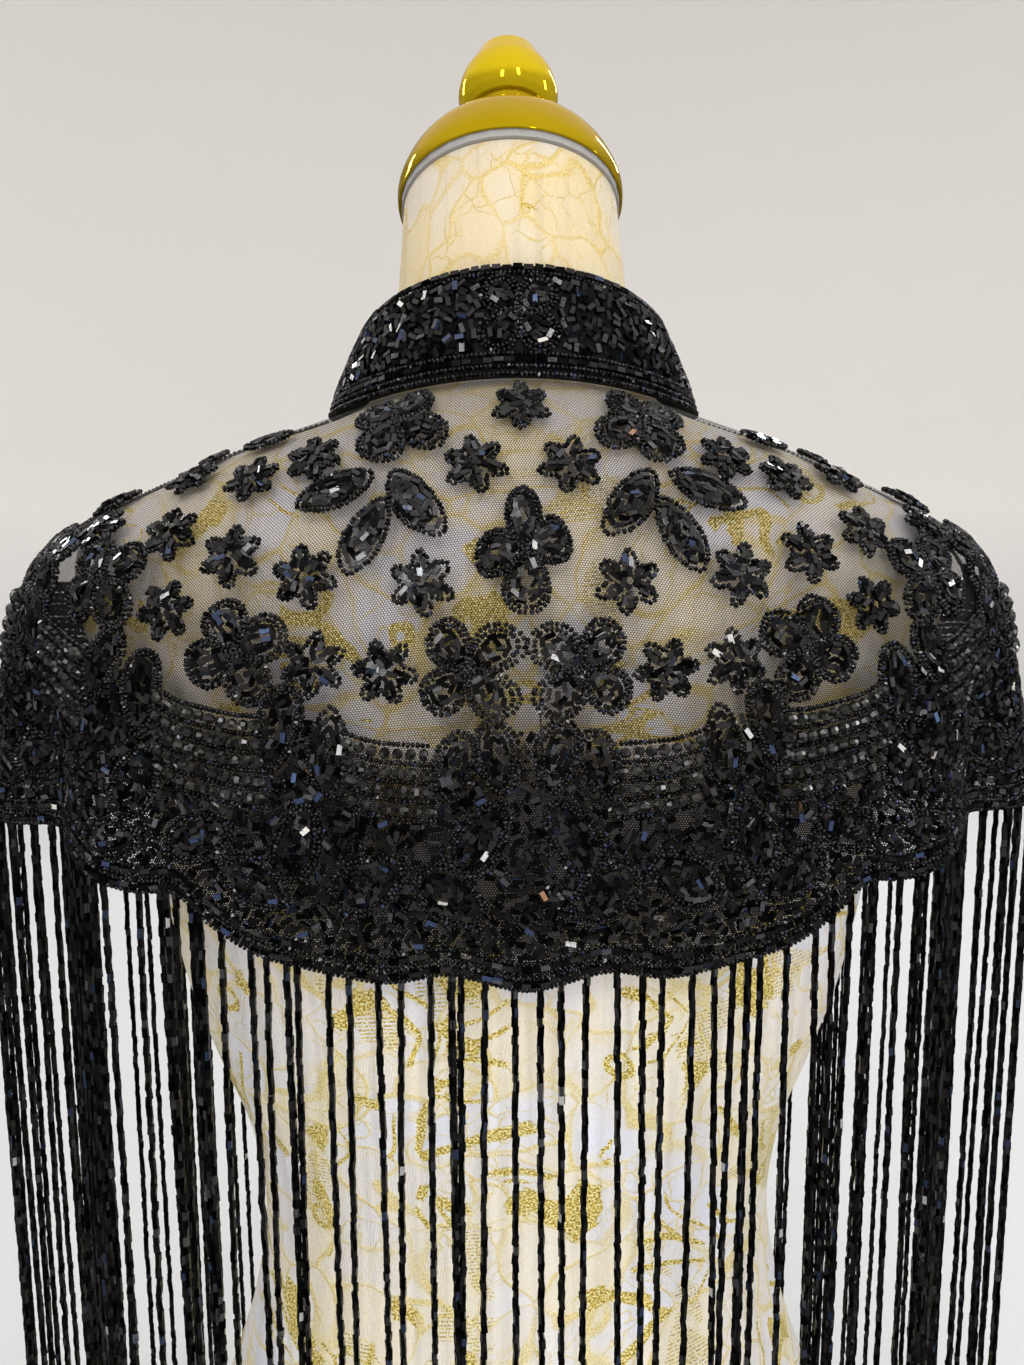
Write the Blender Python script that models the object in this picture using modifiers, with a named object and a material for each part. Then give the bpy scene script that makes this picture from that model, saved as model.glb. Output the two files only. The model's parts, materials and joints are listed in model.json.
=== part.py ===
"""A beaded fringe capelet on a limbless dress form.

Units are metres and +Z is up. The form's flat underside lies at Z = 0 with its middle at the origin, the
centre back faces -Y and the centre front +Y. The capelet is a net yoke with a stand collar, a layer of beads
round its lower half, cut in gores, and a curtain of bead strands that hangs from the scalloped hem.

An azimuth runs round the neck in degrees: 0 at the centre back, 90 at the right shoulder, 180 at the centre
front, and negative on the left. "Down" runs along the cloth, from 0 at the neckline to 1 at a plain hem.
"""

import math
from typing import NamedTuple

import bmesh
import bpy
from mathutils import Vector

# Walls and gaps
NET_WALL = 0.0010
BEAD_WALL = 0.0019
COLLAR_WALL = 0.0030
FRINGE_WALL = 0.0024
GAP = 0.0003

# The capelet's make
FRINGE_END = 0.006
FRONT_GAP_AT_NECK = 0.0030
FRONT_GAP_AT_HEM = 0.0080
COLLAR_END = 173.0
YOKE_ROWS = 8
BEAD_ROWS = 5
COLLAR_ROWS = 3

# The neck cap, a turned piece that leans forwards with the neck
CAP_LEAN = 20.0
CAP_MIDDLE = Vector((0.0, 0.031, 0.746))
NECK_TOP_RADIUS = 0.0520
NECK_TOP_FORWARD = 0.0008
BOARD_RADIUS = 0.0532
BOARD_THICKNESS = 0.0030
BOARD_DROP = 0.0036
KNOB_RADIUS = 0.0249
KNOB_TOP = 0.0935
KNOB_FOOT = 0.0530
TURNED_STEPS = 32


class Ring(NamedTuple):
    """A section round the body: half its width, and how far and how high it lies at each side."""

    name: str
    half_width: float
    side_z: float
    back: float
    back_z: float
    front: float
    front_z: float
    squareness: float
    saddle: float = 2.5
    middle_y: float = 0.0


class Flute(NamedTuple):
    """A soft fold in the hem: its place, its half width in degrees, and how far it stands out."""

    azimuth: float
    spread: float
    reach: float


class Mark(NamedTuple):
    """How far down the cloth an edge passes at an azimuth; the front repeats the back."""

    azimuth: float
    down: float


class Gore(NamedTuple):
    """A stretch of the beaded border and of the fringe below it, on the right side."""

    name: str
    start: float
    end: float


CAPE_RINGS = [
    Ring("neckline", 0.0838, 0.6400, 0.0650, 0.6500, 0.0780, 0.6120, 2.00),
    Ring("collarbone", 0.1260, 0.6265, 0.0810, 0.6290, 0.0940, 0.5910, 2.10),
    Ring("mid shoulder", 0.1620, 0.6110, 0.0950, 0.6020, 0.1080, 0.5660, 2.20),
    Ring("outer shoulder", 0.1910, 0.5970, 0.1050, 0.5720, 0.1190, 0.5380, 2.35),
    Ring("shoulder point", 0.2120, 0.5830, 0.1115, 0.5400, 0.1270, 0.5080, 2.40),
    Ring("arm top", 0.2265, 0.5600, 0.1155, 0.5080, 0.1330, 0.4780, 2.30),
    Ring("upper arm", 0.2350, 0.5280, 0.1180, 0.4770, 0.1370, 0.4500, 2.15),
    Ring("arm", 0.2425, 0.4940, 0.1195, 0.4470, 0.1400, 0.4220, 2.05),
    Ring("hem", 0.2500, 0.4600, 0.1210, 0.4170, 0.1430, 0.3940, 2.00),
]

FLUTES = [
    Flute(44.0, 8.0, 0.006),
    Flute(57.0, 9.0, -0.013),
    Flute(76.0, 9.0, 0.003),
    Flute(123.0, 9.0, -0.010),
    Flute(136.0, 8.0, 0.005),
]
FLUTE_START = 0.45
FLUTE_SHARPNESS = 1.2

HEM_MARKS = [
    Mark(0.0, 1.016),
    Mark(7.0, 0.984),
    Mark(12.5, 1.012),
    Mark(19.0, 1.006),
    Mark(25.0, 1.002),
    Mark(30.0, 0.972),
    Mark(33.5, 0.934),
    Mark(38.0, 0.956),
    Mark(43.0, 0.958),
    Mark(48.0, 0.940),
    Mark(57.0, 0.950),
    Mark(66.0, 0.974),
    Mark(78.0, 0.982),
    Mark(90.0, 0.984),
]

BORDER_MARKS = [
    Mark(0.0, 0.590),
    Mark(3.5, 0.612),
    Mark(7.0, 0.622),
    Mark(12.5, 0.624),
    Mark(19.0, 0.592),
    Mark(25.0, 0.622),
    Mark(33.5, 0.630),
    Mark(38.0, 0.606),
    Mark(43.0, 0.590),
    Mark(48.0, 0.612),
    Mark(57.0, 0.606),
    Mark(66.0, 0.596),
    Mark(90.0, 0.600),
]

# The azimuths where a quarter of the cloth has its columns of points
QUARTER = [0.0, 3.5, 7.0, 12.5, 19.0, 25.0, 30.0, 33.5, 38.0, 43.0, 47.0, 52.0, 57.0, 62.0, 69.0, 79.0, 90.0]

GORES = [
    Gore("back", 0.0, 19.0),
    Gore("side_back", 19.0, 43.0),
    Gore("shoulder", 43.0, 137.0),
    Gore("side_front", 137.0, 161.0),
    Gore("front", 161.0, 180.0),
]

COLLAR_MIDDLE = Ring("collar middle", 0.0778, 0.6575, 0.0615, 0.6745, 0.0775, 0.6340, 2.00, 1.6)
COLLAR_TOP = Ring("collar top", 0.0690, 0.6735, 0.0565, 0.6965, 0.0765, 0.6550, 2.00, 1.3)

FORM_RINGS = [
    Ring("underside", 0.1760, 0.0000, 0.1120, 0.0000, 0.1120, 0.0000, 2.20),
    Ring("hip", 0.1780, 0.0450, 0.1150, 0.0450, 0.1120, 0.0450, 2.20),
    Ring("high hip", 0.1715, 0.0950, 0.1110, 0.0950, 0.1090, 0.0950, 2.20),
    Ring("belly", 0.1565, 0.1410, 0.1030, 0.1410, 0.1050, 0.1410, 2.20),
    Ring("below waist", 0.1390, 0.1950, 0.0920, 0.1950, 0.1000, 0.1950, 2.20),
    Ring("waist", 0.1297, 0.2500, 0.0860, 0.2500, 0.0950, 0.2500, 2.20),
    Ring("above waist", 0.1350, 0.3000, 0.0910, 0.3000, 0.1000, 0.3000, 2.20),
    Ring("ribs", 0.1500, 0.3420, 0.0965, 0.3420, 0.1130, 0.3420, 2.20),
    Ring("under bust", 0.1620, 0.3780, 0.1000, 0.3780, 0.1240, 0.3760, 2.20),
    Ring("bust", 0.1720, 0.4300, 0.1025, 0.4300, 0.1295, 0.4200, 2.25),
    Ring("above bust", 0.1790, 0.4850, 0.1030, 0.4800, 0.1240, 0.4600, 2.30),
    Ring("armhole", 0.1900, 0.5200, 0.1025, 0.5060, 0.1190, 0.4830, 2.35),
    Ring("arm cap", 0.2000, 0.5480, 0.1015, 0.5260, 0.1140, 0.5040, 2.40),
    Ring("shoulder end", 0.2030, 0.5700, 0.1000, 0.5430, 0.1100, 0.5190, 2.40),
    Ring("shoulder tip", 0.1995, 0.5870, 0.0990, 0.5580, 0.1100, 0.5290, 2.38),
    Ring("on outer shoulder", 0.1910, 0.5963, 0.0985, 0.5700, 0.1090, 0.5370, 2.35),
    Ring("on mid shoulder", 0.1620, 0.6103, 0.0910, 0.6000, 0.1020, 0.5650, 2.20),
    Ring("on collarbone", 0.1260, 0.6258, 0.0785, 0.6280, 0.0905, 0.5905, 2.10),
    Ring("on neckline", 0.0838, 0.6393, 0.0628, 0.6490, 0.0750, 0.6120, 2.00),
    Ring("neck base", 0.0660, 0.6510, 0.0560, 0.6600, 0.0660, 0.6320, 2.00, 2.0, 0.002),
    Ring("nape", 0.0585, 0.6680, 0.0540, 0.6780, 0.0590, 0.6560, 2.00, 1.5, 0.008),
    Ring("neck", 0.0545, 0.6980, 0.0530, 0.7110, 0.0530, 0.6850, 2.00, 1.2, 0.014),
]

COLOURS = {
    "net": (0.02, 0.02, 0.022),
    "beads": (0.012, 0.012, 0.014),
    "cloth": (0.86, 0.82, 0.70),
    "gold": (0.83, 0.61, 0.09),
    "board": (0.62, 0.62, 0.60),
}


def neck_top() -> Ring:
    """The form's last section, which lies in the plane of the leaning cap."""
    across = math.cos(math.radians(CAP_LEAN))
    rise = math.sin(math.radians(CAP_LEAN))
    reach = NECK_TOP_RADIUS * across
    side = CAP_MIDDLE.z - NECK_TOP_FORWARD * rise - BOARD_DROP * across
    back = side + NECK_TOP_RADIUS * rise
    front = side - NECK_TOP_RADIUS * rise
    middle = CAP_MIDDLE.y + NECK_TOP_FORWARD * across - BOARD_DROP * rise
    return Ring("neck top", NECK_TOP_RADIUS, side, reach, back, reach, front, 2.0, 1.0, middle)


def ring_point(ring: Ring, azimuth: float) -> Vector:
    """The point of a section at an azimuth."""
    across = math.sin(math.radians(azimuth))
    along = math.cos(math.radians(azimuth))
    power = 2.0 / ring.squareness
    reach, height = (ring.back, ring.back_z) if along >= 0.0 else (ring.front, ring.front_z)
    x = math.copysign(abs(across) ** power, across) * ring.half_width
    y = ring.middle_y - math.copysign(abs(along) ** power, along) * reach
    z = ring.side_z + (height - ring.side_z) * abs(along) ** ring.saddle
    return Vector((x, y, z))


def through(points: list[Vector], share: float) -> Vector:
    """A point on the smooth curve through points that are evenly spaced in share."""
    place = share * (len(points) - 1)
    index = min(max(math.floor(place), 0), len(points) - 2)
    t = place - index
    before = points[index - 1] if index else 2 * points[0] - points[1]
    after = points[index + 2] if index + 2 < len(points) else 2 * points[-1] - points[-2]
    start, end = points[index], points[index + 1]
    linear = (end - before) * t
    square = (2 * before - 5 * start + 4 * end - after) * t**2
    cubic = (3 * start - before - 3 * end + after) * t**3
    return start + (linear + square + cubic) / 2


def smooth(value: float) -> float:
    """An ease from 0 to 1."""
    value = min(max(value, 0.0), 1.0)
    return value * value * (3.0 - 2.0 * value)


def cape_point(azimuth: float, down: float) -> Vector:
    """The inner face of the net at an azimuth and a distance down."""
    point = through([ring_point(ring, azimuth) for ring in CAPE_RINGS], down)
    grown = smooth((down - FLUTE_START) / (1.0 - FLUTE_START))
    stand = 0.0
    for flute in FLUTES:
        off = (abs(azimuth) - flute.azimuth) / flute.spread
        stand += flute.reach * math.exp(-FLUTE_SHARPNESS * off * off)
    last = CAPE_RINGS[-1]
    depth = last.back if point.y < 0.0 else last.front
    outward = Vector((point.x / last.half_width**2, point.y / depth**2, 0.0)).normalized()
    return point + outward * stand * grown


def edge_down(marks: list[Mark], azimuth: float) -> float:
    """How far down an edge lies, read between its marks."""
    folded = min(abs(azimuth), 180.0 - abs(azimuth))
    for first, second in zip(marks, marks[1:]):
        if folded <= second.azimuth:
            share = (folded - first.azimuth) / (second.azimuth - first.azimuth)
            return first.down + (second.down - first.down) * share
    return marks[-1].down


def cape_normal(azimuth: float, down: float) -> Vector:
    """The outward direction of the cloth."""
    step = 0.5
    slide = 0.01
    round_it = cape_point(azimuth + step, down) - cape_point(azimuth - step, down)
    down_it = cape_point(azimuth, down + slide) - cape_point(azimuth, down - slide)
    return down_it.cross(round_it).normalized()


def columns(start: float, end: float) -> list[float]:
    """The azimuths of the cloth's columns from start to end."""
    half = QUARTER + [180.0 - azimuth for azimuth in reversed(QUARTER[:-1])]
    whole = [-azimuth for azimuth in reversed(half[1:])] + half
    return [azimuth for azimuth in whole if start <= azimuth <= end]


def cape_column(azimuth: float) -> list[float]:
    """How far down each row lies in a column, first on the bare net and then under the beads."""
    top = edge_down(BORDER_MARKS, azimuth)
    hem = edge_down(HEM_MARKS, azimuth)
    bare = [top * row / YOKE_ROWS for row in range(YOKE_ROWS)]
    return bare + [top + (hem - top) * row / BEAD_ROWS for row in range(BEAD_ROWS + 1)]


def edge_gap(azimuth: float, down: float) -> float:
    """How far an edge is drawn back from its seam, or from the open centre front."""
    if abs(azimuth) < 180.0:
        return GAP / 2
    return (FRONT_GAP_AT_NECK + (FRONT_GAP_AT_HEM - FRONT_GAP_AT_NECK) * down) / 2


def cloth_grid(start: float, end: float, first_row: int, raised: float) -> list[list[Vector]]:
    """The points of a piece of the cloth, column by column, raised off the net's inner face."""
    azimuths = columns(start, end)
    grid = []
    for azimuth in azimuths:
        column = []
        for down in cape_column(azimuth)[first_row:]:
            point = cape_point(azimuth, down) + cape_normal(azimuth, down) * raised
            if azimuth in (start, end):
                inward = 1.0 if azimuth == start else -1.0
                along = (cape_point(azimuth + inward, down) - cape_point(azimuth, down)).normalized()
                point += along * edge_gap(azimuth, down)
            column.append(point)
        grid.append(column)
    return grid


def collar_grid() -> list[list[Vector]]:
    """The inner face of the collar, which stands on the net's neckline."""
    grid = []
    raised = NET_WALL + GAP
    for azimuth in [-COLLAR_END, *columns(-161.0, 161.0), COLLAR_END]:
        foot = cape_point(azimuth, 0.0) + cape_normal(azimuth, 0.0) * raised
        points = [foot, ring_point(COLLAR_MIDDLE, azimuth), ring_point(COLLAR_TOP, azimuth)]
        grid.append([through(points, 1.0 - row / COLLAR_ROWS) for row in range(COLLAR_ROWS + 1)])
    return grid


def fringe_grid(start: float, end: float) -> list[list[Vector]]:
    """The inner face of a curtain of strands, straight down from the hem to one level."""
    raised = (NET_WALL + GAP + BEAD_WALL - FRINGE_WALL) / 2
    grid = []
    for azimuth, column in zip(columns(start, end), cloth_grid(start, end, YOKE_ROWS, raised)):
        normal = cape_normal(azimuth, edge_down(HEM_MARKS, azimuth))
        drop = 2 * GAP + raised * abs(normal.z)
        head = column[-1] - Vector((0.0, 0.0, drop))
        grid.append([head, Vector((head.x, head.y, FRINGE_END))])
    return grid


def material(kind: str) -> bpy.types.Material:
    """A new material of the kind's colour."""
    made = bpy.data.materials.new(kind)
    made.use_nodes = True
    shader = made.node_tree.nodes["Principled BSDF"]
    shader.inputs["Base Color"].default_value = (*COLOURS[kind], 1.0)
    shader.inputs["Roughness"].default_value = {"gold": 0.12, "beads": 0.2}.get(kind, 0.8)
    shader.inputs["Metallic"].default_value = 1.0 if kind == "gold" else 0.0
    return made


def add(name: str, mesh: bpy.types.Mesh, kind: str) -> bpy.types.Object:
    """A new object in the capelet's collection."""
    made = bpy.data.objects.new(name, mesh)
    mesh.materials.append(material(kind))
    bpy.data.collections["beaded_fringe_capelet"].objects.link(made)
    return made


def wall(name: str, grid: list[list[Vector]], thickness: float, kind: str) -> bpy.types.Object:
    """A cloth wall: a loft over the grid's columns with a thickness outwards."""
    shape = bmesh.new()
    points = [[shape.verts.new(point) for point in column] for column in grid]
    for left, right in zip(points, points[1:]):
        for row in range(len(left) - 1):
            shape.faces.new((left[row], left[row + 1], right[row + 1]))
            shape.faces.new((left[row], right[row + 1], right[row]))
    mesh = bpy.data.meshes.new(name)
    shape.to_mesh(mesh)
    shape.free()
    made = add(name, mesh, kind)
    solidify = made.modifiers.new("thickness", "SOLIDIFY")
    solidify.thickness = thickness
    solidify.offset = 1.0
    solidify.use_even_offset = True
    return made


def build_yoke() -> None:
    """The net: one back from shoulder seam to shoulder seam, and two fronts."""
    for name, start, end in (
        ("net_back", -90.0, 90.0),
        ("net_front_right", 90.0, 180.0),
        ("net_front_left", -180.0, -90.0),
    ):
        wall(name, cloth_grid(start, end, 0, 0.0), NET_WALL, "net")


def build_border_and_fringe() -> None:
    """The layer of beads on the net's lower half, and the strands below it, gore by gore."""
    for gore in GORES:
        for side, start, end in (("right", gore.start, gore.end), ("left", -gore.end, -gore.start)):
            beads = cloth_grid(start, end, YOKE_ROWS, NET_WALL + GAP)
            wall(f"border_{gore.name}_{side}", beads, BEAD_WALL, "beads")
            wall(f"fringe_{gore.name}_{side}", fringe_grid(start, end), FRINGE_WALL, "beads")


def build_form() -> None:
    """The dress form: a smooth torso and neck through its sections, closed top and bottom."""
    shape = bmesh.new()
    azimuths = columns(-180.0, 180.0)[1:]
    sections = [*FORM_RINGS, neck_top()]
    rings = [[shape.verts.new(ring_point(ring, azimuth)) for azimuth in azimuths] for ring in sections]
    for low, high in zip(rings, rings[1:]):
        for index in range(len(azimuths)):
            after = (index + 1) % len(azimuths)
            shape.faces.new((low[index], low[after], high[after], high[index]))
    shape.faces.new(list(reversed(rings[0])))
    shape.faces.new(rings[-1])
    bmesh.ops.triangulate(shape, faces=shape.faces[:])
    mesh = bpy.data.meshes.new("dress_form")
    shape.to_mesh(mesh)
    shape.free()
    made = add("dress_form", mesh, "cloth")
    made.data.shade_smooth()


def turned(name: str, profile: list[tuple[float, float]], kind: str) -> bpy.types.Object:
    """A piece turned about the neck's leaning axis, from a profile that runs from top to bottom."""
    mesh = bpy.data.meshes.new(name)
    edges = [(index, index + 1) for index in range(len(profile) - 1)]
    mesh.from_pydata([(radius, 0.0, height) for radius, height in profile], edges, [])
    made = add(name, mesh, kind)
    made.location = CAP_MIDDLE
    made.rotation_euler = (-math.radians(CAP_LEAN), 0.0, 0.0)
    screw = made.modifiers.new("turn", "SCREW")
    screw.steps = TURNED_STEPS
    screw.render_steps = TURNED_STEPS
    screw.use_merge_vertices = True
    screw.merge_threshold = 0.0001
    screw.use_smooth_shade = True
    return made


def build_cap() -> None:
    """The board on top of the neck, the gold cap over it and the knob on the cap."""
    recess = BOARD_RADIUS + GAP
    ceiling = BOARD_THICKNESS + 2 * GAP
    floor = GAP - BOARD_DROP
    board = [(0.0, ceiling - GAP), (BOARD_RADIUS, ceiling - GAP), (BOARD_RADIUS, floor), (0.0, floor)]
    turned("neck_board", board, "board")
    flare = [(0.0198, 0.0515), (0.0206, 0.0462), (0.0238, 0.0412), (0.0318, 0.0360), (0.0416, 0.0288)]
    rim = [(0.0488, 0.0203), (0.0530, 0.0120), (0.0549, 0.0055), (0.0547, 0.0)]
    inside = [(recess, 0.0), (recess, ceiling), (0.0, ceiling)]
    turned("neck_cap", [(0.0, KNOB_FOOT - GAP), (0.0192, KNOB_FOOT - GAP), *flare, *rim, *inside], "gold")
    shape = [(0.0, 0.0), (0.045, 0.33), (0.15, 0.555), (0.225, 0.64), (0.355, 0.79), (0.515, 0.93), (0.69, 1.0),
             (0.80, 0.99), (0.916, 0.93), (1.0, 0.84)]
    tall = KNOB_TOP - KNOB_FOOT
    knob = [(KNOB_RADIUS * across, KNOB_TOP - tall * down) for down, across in shape]
    turned("cap_knob", [*knob, (0.0, KNOB_FOOT)], "gold")


def main() -> None:
    """Empties the scene and builds every piece."""
    for old in list(bpy.data.objects):
        bpy.data.objects.remove(old)
    collection = bpy.data.collections.new("beaded_fringe_capelet")
    bpy.context.scene.collection.children.link(collection)
    build_form()
    build_cap()
    build_yoke()
    wall("collar", collar_grid(), COLLAR_WALL, "beads")
    build_border_and_fringe()
    bpy.context.view_layer.update()


main()
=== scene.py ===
"""Looks for a beaded fringe capelet on a dress form.

An azimuth runs round the neck in degrees: 0 at the centre back, 90 at the right shoulder, 180 at the centre
front, negative on the left. "Down" runs along a cloth from 0 at its top edge to 1 at its plain lower edge.
Lengths are in metres.
"""

import itertools
import json
import logging
import math
from collections.abc import Callable, Iterable
from dataclasses import dataclass, field
from enum import Enum
from typing import NamedTuple

import bmesh
import bpy
import numpy as np
from mathutils import Matrix, Vector

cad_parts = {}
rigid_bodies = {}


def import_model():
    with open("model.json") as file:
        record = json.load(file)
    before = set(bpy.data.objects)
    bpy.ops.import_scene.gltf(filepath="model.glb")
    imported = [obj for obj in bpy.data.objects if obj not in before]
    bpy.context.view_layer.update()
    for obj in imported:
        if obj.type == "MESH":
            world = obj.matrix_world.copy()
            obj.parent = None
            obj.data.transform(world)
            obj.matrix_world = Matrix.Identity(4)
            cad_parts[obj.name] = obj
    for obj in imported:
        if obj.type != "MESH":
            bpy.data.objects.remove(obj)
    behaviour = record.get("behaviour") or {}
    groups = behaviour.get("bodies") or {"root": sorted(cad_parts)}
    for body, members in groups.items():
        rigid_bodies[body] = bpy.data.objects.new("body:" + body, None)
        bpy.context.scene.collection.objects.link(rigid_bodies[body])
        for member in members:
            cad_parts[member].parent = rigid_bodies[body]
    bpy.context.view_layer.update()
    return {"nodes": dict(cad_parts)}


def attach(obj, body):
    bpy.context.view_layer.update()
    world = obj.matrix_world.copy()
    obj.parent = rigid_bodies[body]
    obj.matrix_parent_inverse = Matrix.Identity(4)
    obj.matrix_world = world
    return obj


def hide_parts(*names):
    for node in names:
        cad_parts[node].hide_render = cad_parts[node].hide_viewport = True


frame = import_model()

log = logging.getLogger("capelet")
Socket = bpy.types.NodeSocket

NET_WALL = 0.001
GAP = 0.0003
FRINGE_END = 0.006
COLLAR_END = 173.0
SEED_PITCH = 0.00182
BUGLE_PITCH = 0.0041
SEED_LIFT = 0.001
BUGLE_LIFT = 0.0012
ROUND_LIFT = 0.0021
ROWS_END = 178.7
SEWN_END = 178.6
LOOSE_END = 178.4


class Ring(NamedTuple):
    """A section round the body: half its width, and how far and how high it lies at each side."""

    name: str
    half_width: float
    side_z: float
    back: float
    back_z: float
    front: float
    front_z: float
    squareness: float
    saddle: float = 2.5
    middle_y: float = 0.0


class Flute(NamedTuple):
    """A soft fold in the hem: its place, its half width in degrees, and how far it stands out."""

    azimuth: float
    spread: float
    reach: float


class Mark(NamedTuple):
    """How far down the cloth an edge passes at an azimuth; the front repeats the back."""

    azimuth: float
    down: float


class Shape(Enum):
    """The outline of a beaded motif."""

    STAR = "star"
    FLOWER = "flower"
    CLOVER = "clover"
    PETAL = "petal"
    LEAF = "leaf"


class Motif(NamedTuple):
    """A beaded motif on the right half of the back, with its turn in degrees."""

    shape: Shape
    azimuth: float
    down: float
    length: float
    width: float
    turn: float = 0.0


class Block(NamedTuple):
    """A block of round bead rows in the border: its sides and how far its first row is below the edge."""

    start: float
    end: float
    below: float
    rows: int


class Gore(NamedTuple):
    """A gore on each side, between two azimuths."""

    name: str
    start: float
    end: float

    def holds(self, azimuth: np.ndarray, side: str) -> np.ndarray:
        """Which azimuths lie in it on one side."""
        return (np.abs(azimuth) >= self.start) & (np.abs(azimuth) < self.end) & ((azimuth >= 0) == (side == "right"))


class Bead(Enum):
    """A kind of bead."""

    SEED = "seed"
    BUGLE = "bugle"
    ROUND = "round"
    ROD = "rod"


CAPE_RINGS = [
    Ring("neckline", 0.0838, 0.64, 0.065, 0.65, 0.078, 0.612, 2.0),
    Ring("collarbone", 0.126, 0.6265, 0.081, 0.629, 0.094, 0.591, 2.1),
    Ring("mid shoulder", 0.162, 0.611, 0.095, 0.602, 0.108, 0.566, 2.2),
    Ring("outer shoulder", 0.191, 0.597, 0.105, 0.572, 0.119, 0.538, 2.35),
    Ring("shoulder point", 0.212, 0.583, 0.1115, 0.54, 0.127, 0.508, 2.4),
    Ring("arm top", 0.2265, 0.56, 0.1155, 0.508, 0.133, 0.478, 2.3),
    Ring("upper arm", 0.235, 0.528, 0.118, 0.477, 0.137, 0.45, 2.15),
    Ring("arm", 0.2425, 0.494, 0.1195, 0.447, 0.14, 0.422, 2.05),
    Ring("hem", 0.25, 0.46, 0.121, 0.417, 0.143, 0.394, 2.0),
]
FLUTES = [
    Flute(44.0, 8.0, 0.006),
    Flute(57.0, 9.0, -0.013),
    Flute(76.0, 9.0, 0.003),
    Flute(123.0, 9.0, -0.01),
    Flute(136.0, 8.0, 0.005),
]
FLUTE_START = 0.45
FLUTE_SHARPNESS = 1.2
HEM_MARKS = [
    Mark(0.0, 1.016),
    Mark(7.0, 0.984),
    Mark(12.5, 1.012),
    Mark(19.0, 1.006),
    Mark(25.0, 1.002),
    Mark(30.0, 0.972),
    Mark(33.5, 0.934),
    Mark(38.0, 0.956),
    Mark(43.0, 0.958),
    Mark(48.0, 0.94),
    Mark(57.0, 0.95),
    Mark(66.0, 0.974),
    Mark(78.0, 0.982),
    Mark(90.0, 0.984),
]
BORDER_MARKS = [
    Mark(0.0, 0.59),
    Mark(3.5, 0.612),
    Mark(7.0, 0.622),
    Mark(12.5, 0.624),
    Mark(19.0, 0.592),
    Mark(25.0, 0.622),
    Mark(33.5, 0.63),
    Mark(38.0, 0.606),
    Mark(43.0, 0.59),
    Mark(48.0, 0.612),
    Mark(57.0, 0.606),
    Mark(66.0, 0.596),
    Mark(90.0, 0.6),
]
COLLAR_MIDDLE = Ring("collar middle", 0.0778, 0.6575, 0.0615, 0.6745, 0.0775, 0.634, 2.0, 1.6)
COLLAR_TOP = Ring("collar top", 0.069, 0.6735, 0.0565, 0.6965, 0.0765, 0.655, 2.0, 1.3)
FORM_RINGS = [
    Ring("underside", 0.176, 0.0, 0.112, 0.0, 0.112, 0.0, 2.2),
    Ring("hip", 0.178, 0.045, 0.115, 0.045, 0.112, 0.045, 2.2),
    Ring("high hip", 0.1715, 0.095, 0.111, 0.095, 0.109, 0.095, 2.2),
    Ring("belly", 0.1565, 0.141, 0.103, 0.141, 0.105, 0.141, 2.2),
    Ring("below waist", 0.139, 0.195, 0.092, 0.195, 0.1, 0.195, 2.2),
    Ring("waist", 0.1297, 0.25, 0.086, 0.25, 0.095, 0.25, 2.2),
    Ring("above waist", 0.135, 0.3, 0.091, 0.3, 0.1, 0.3, 2.2),
    Ring("ribs", 0.15, 0.342, 0.0965, 0.342, 0.113, 0.342, 2.2),
    Ring("under bust", 0.162, 0.378, 0.1, 0.378, 0.124, 0.376, 2.2),
    Ring("bust", 0.172, 0.43, 0.1025, 0.43, 0.1295, 0.42, 2.25),
    Ring("above bust", 0.179, 0.485, 0.103, 0.48, 0.124, 0.46, 2.3),
    Ring("armhole", 0.19, 0.52, 0.1025, 0.506, 0.119, 0.483, 2.35),
    Ring("arm cap", 0.2, 0.548, 0.1015, 0.526, 0.114, 0.504, 2.4),
    Ring("shoulder end", 0.203, 0.57, 0.1, 0.543, 0.11, 0.519, 2.4),
    Ring("shoulder tip", 0.1995, 0.587, 0.099, 0.558, 0.11, 0.529, 2.38),
    Ring("on outer shoulder", 0.191, 0.5963, 0.0985, 0.57, 0.109, 0.537, 2.35),
    Ring("on mid shoulder", 0.162, 0.6103, 0.091, 0.6, 0.102, 0.565, 2.2),
    Ring("on collarbone", 0.126, 0.6258, 0.0785, 0.628, 0.0905, 0.5905, 2.1),
    Ring("on neckline", 0.0838, 0.6393, 0.0628, 0.649, 0.075, 0.612, 2.0),
    Ring("neck base", 0.066, 0.651, 0.056, 0.66, 0.066, 0.632, 2.0, 2.0, 0.002),
    Ring("nape", 0.0585, 0.668, 0.054, 0.678, 0.059, 0.656, 2.0, 1.5, 0.008),
    Ring("neck", 0.0545, 0.698, 0.053, 0.711, 0.053, 0.685, 2.0, 1.2, 0.014),
    Ring("neck top", 0.052, 0.7423, 0.0489, 0.7601, 0.0489, 0.7245, 2.0, 1.0, 0.0305),
]

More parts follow.
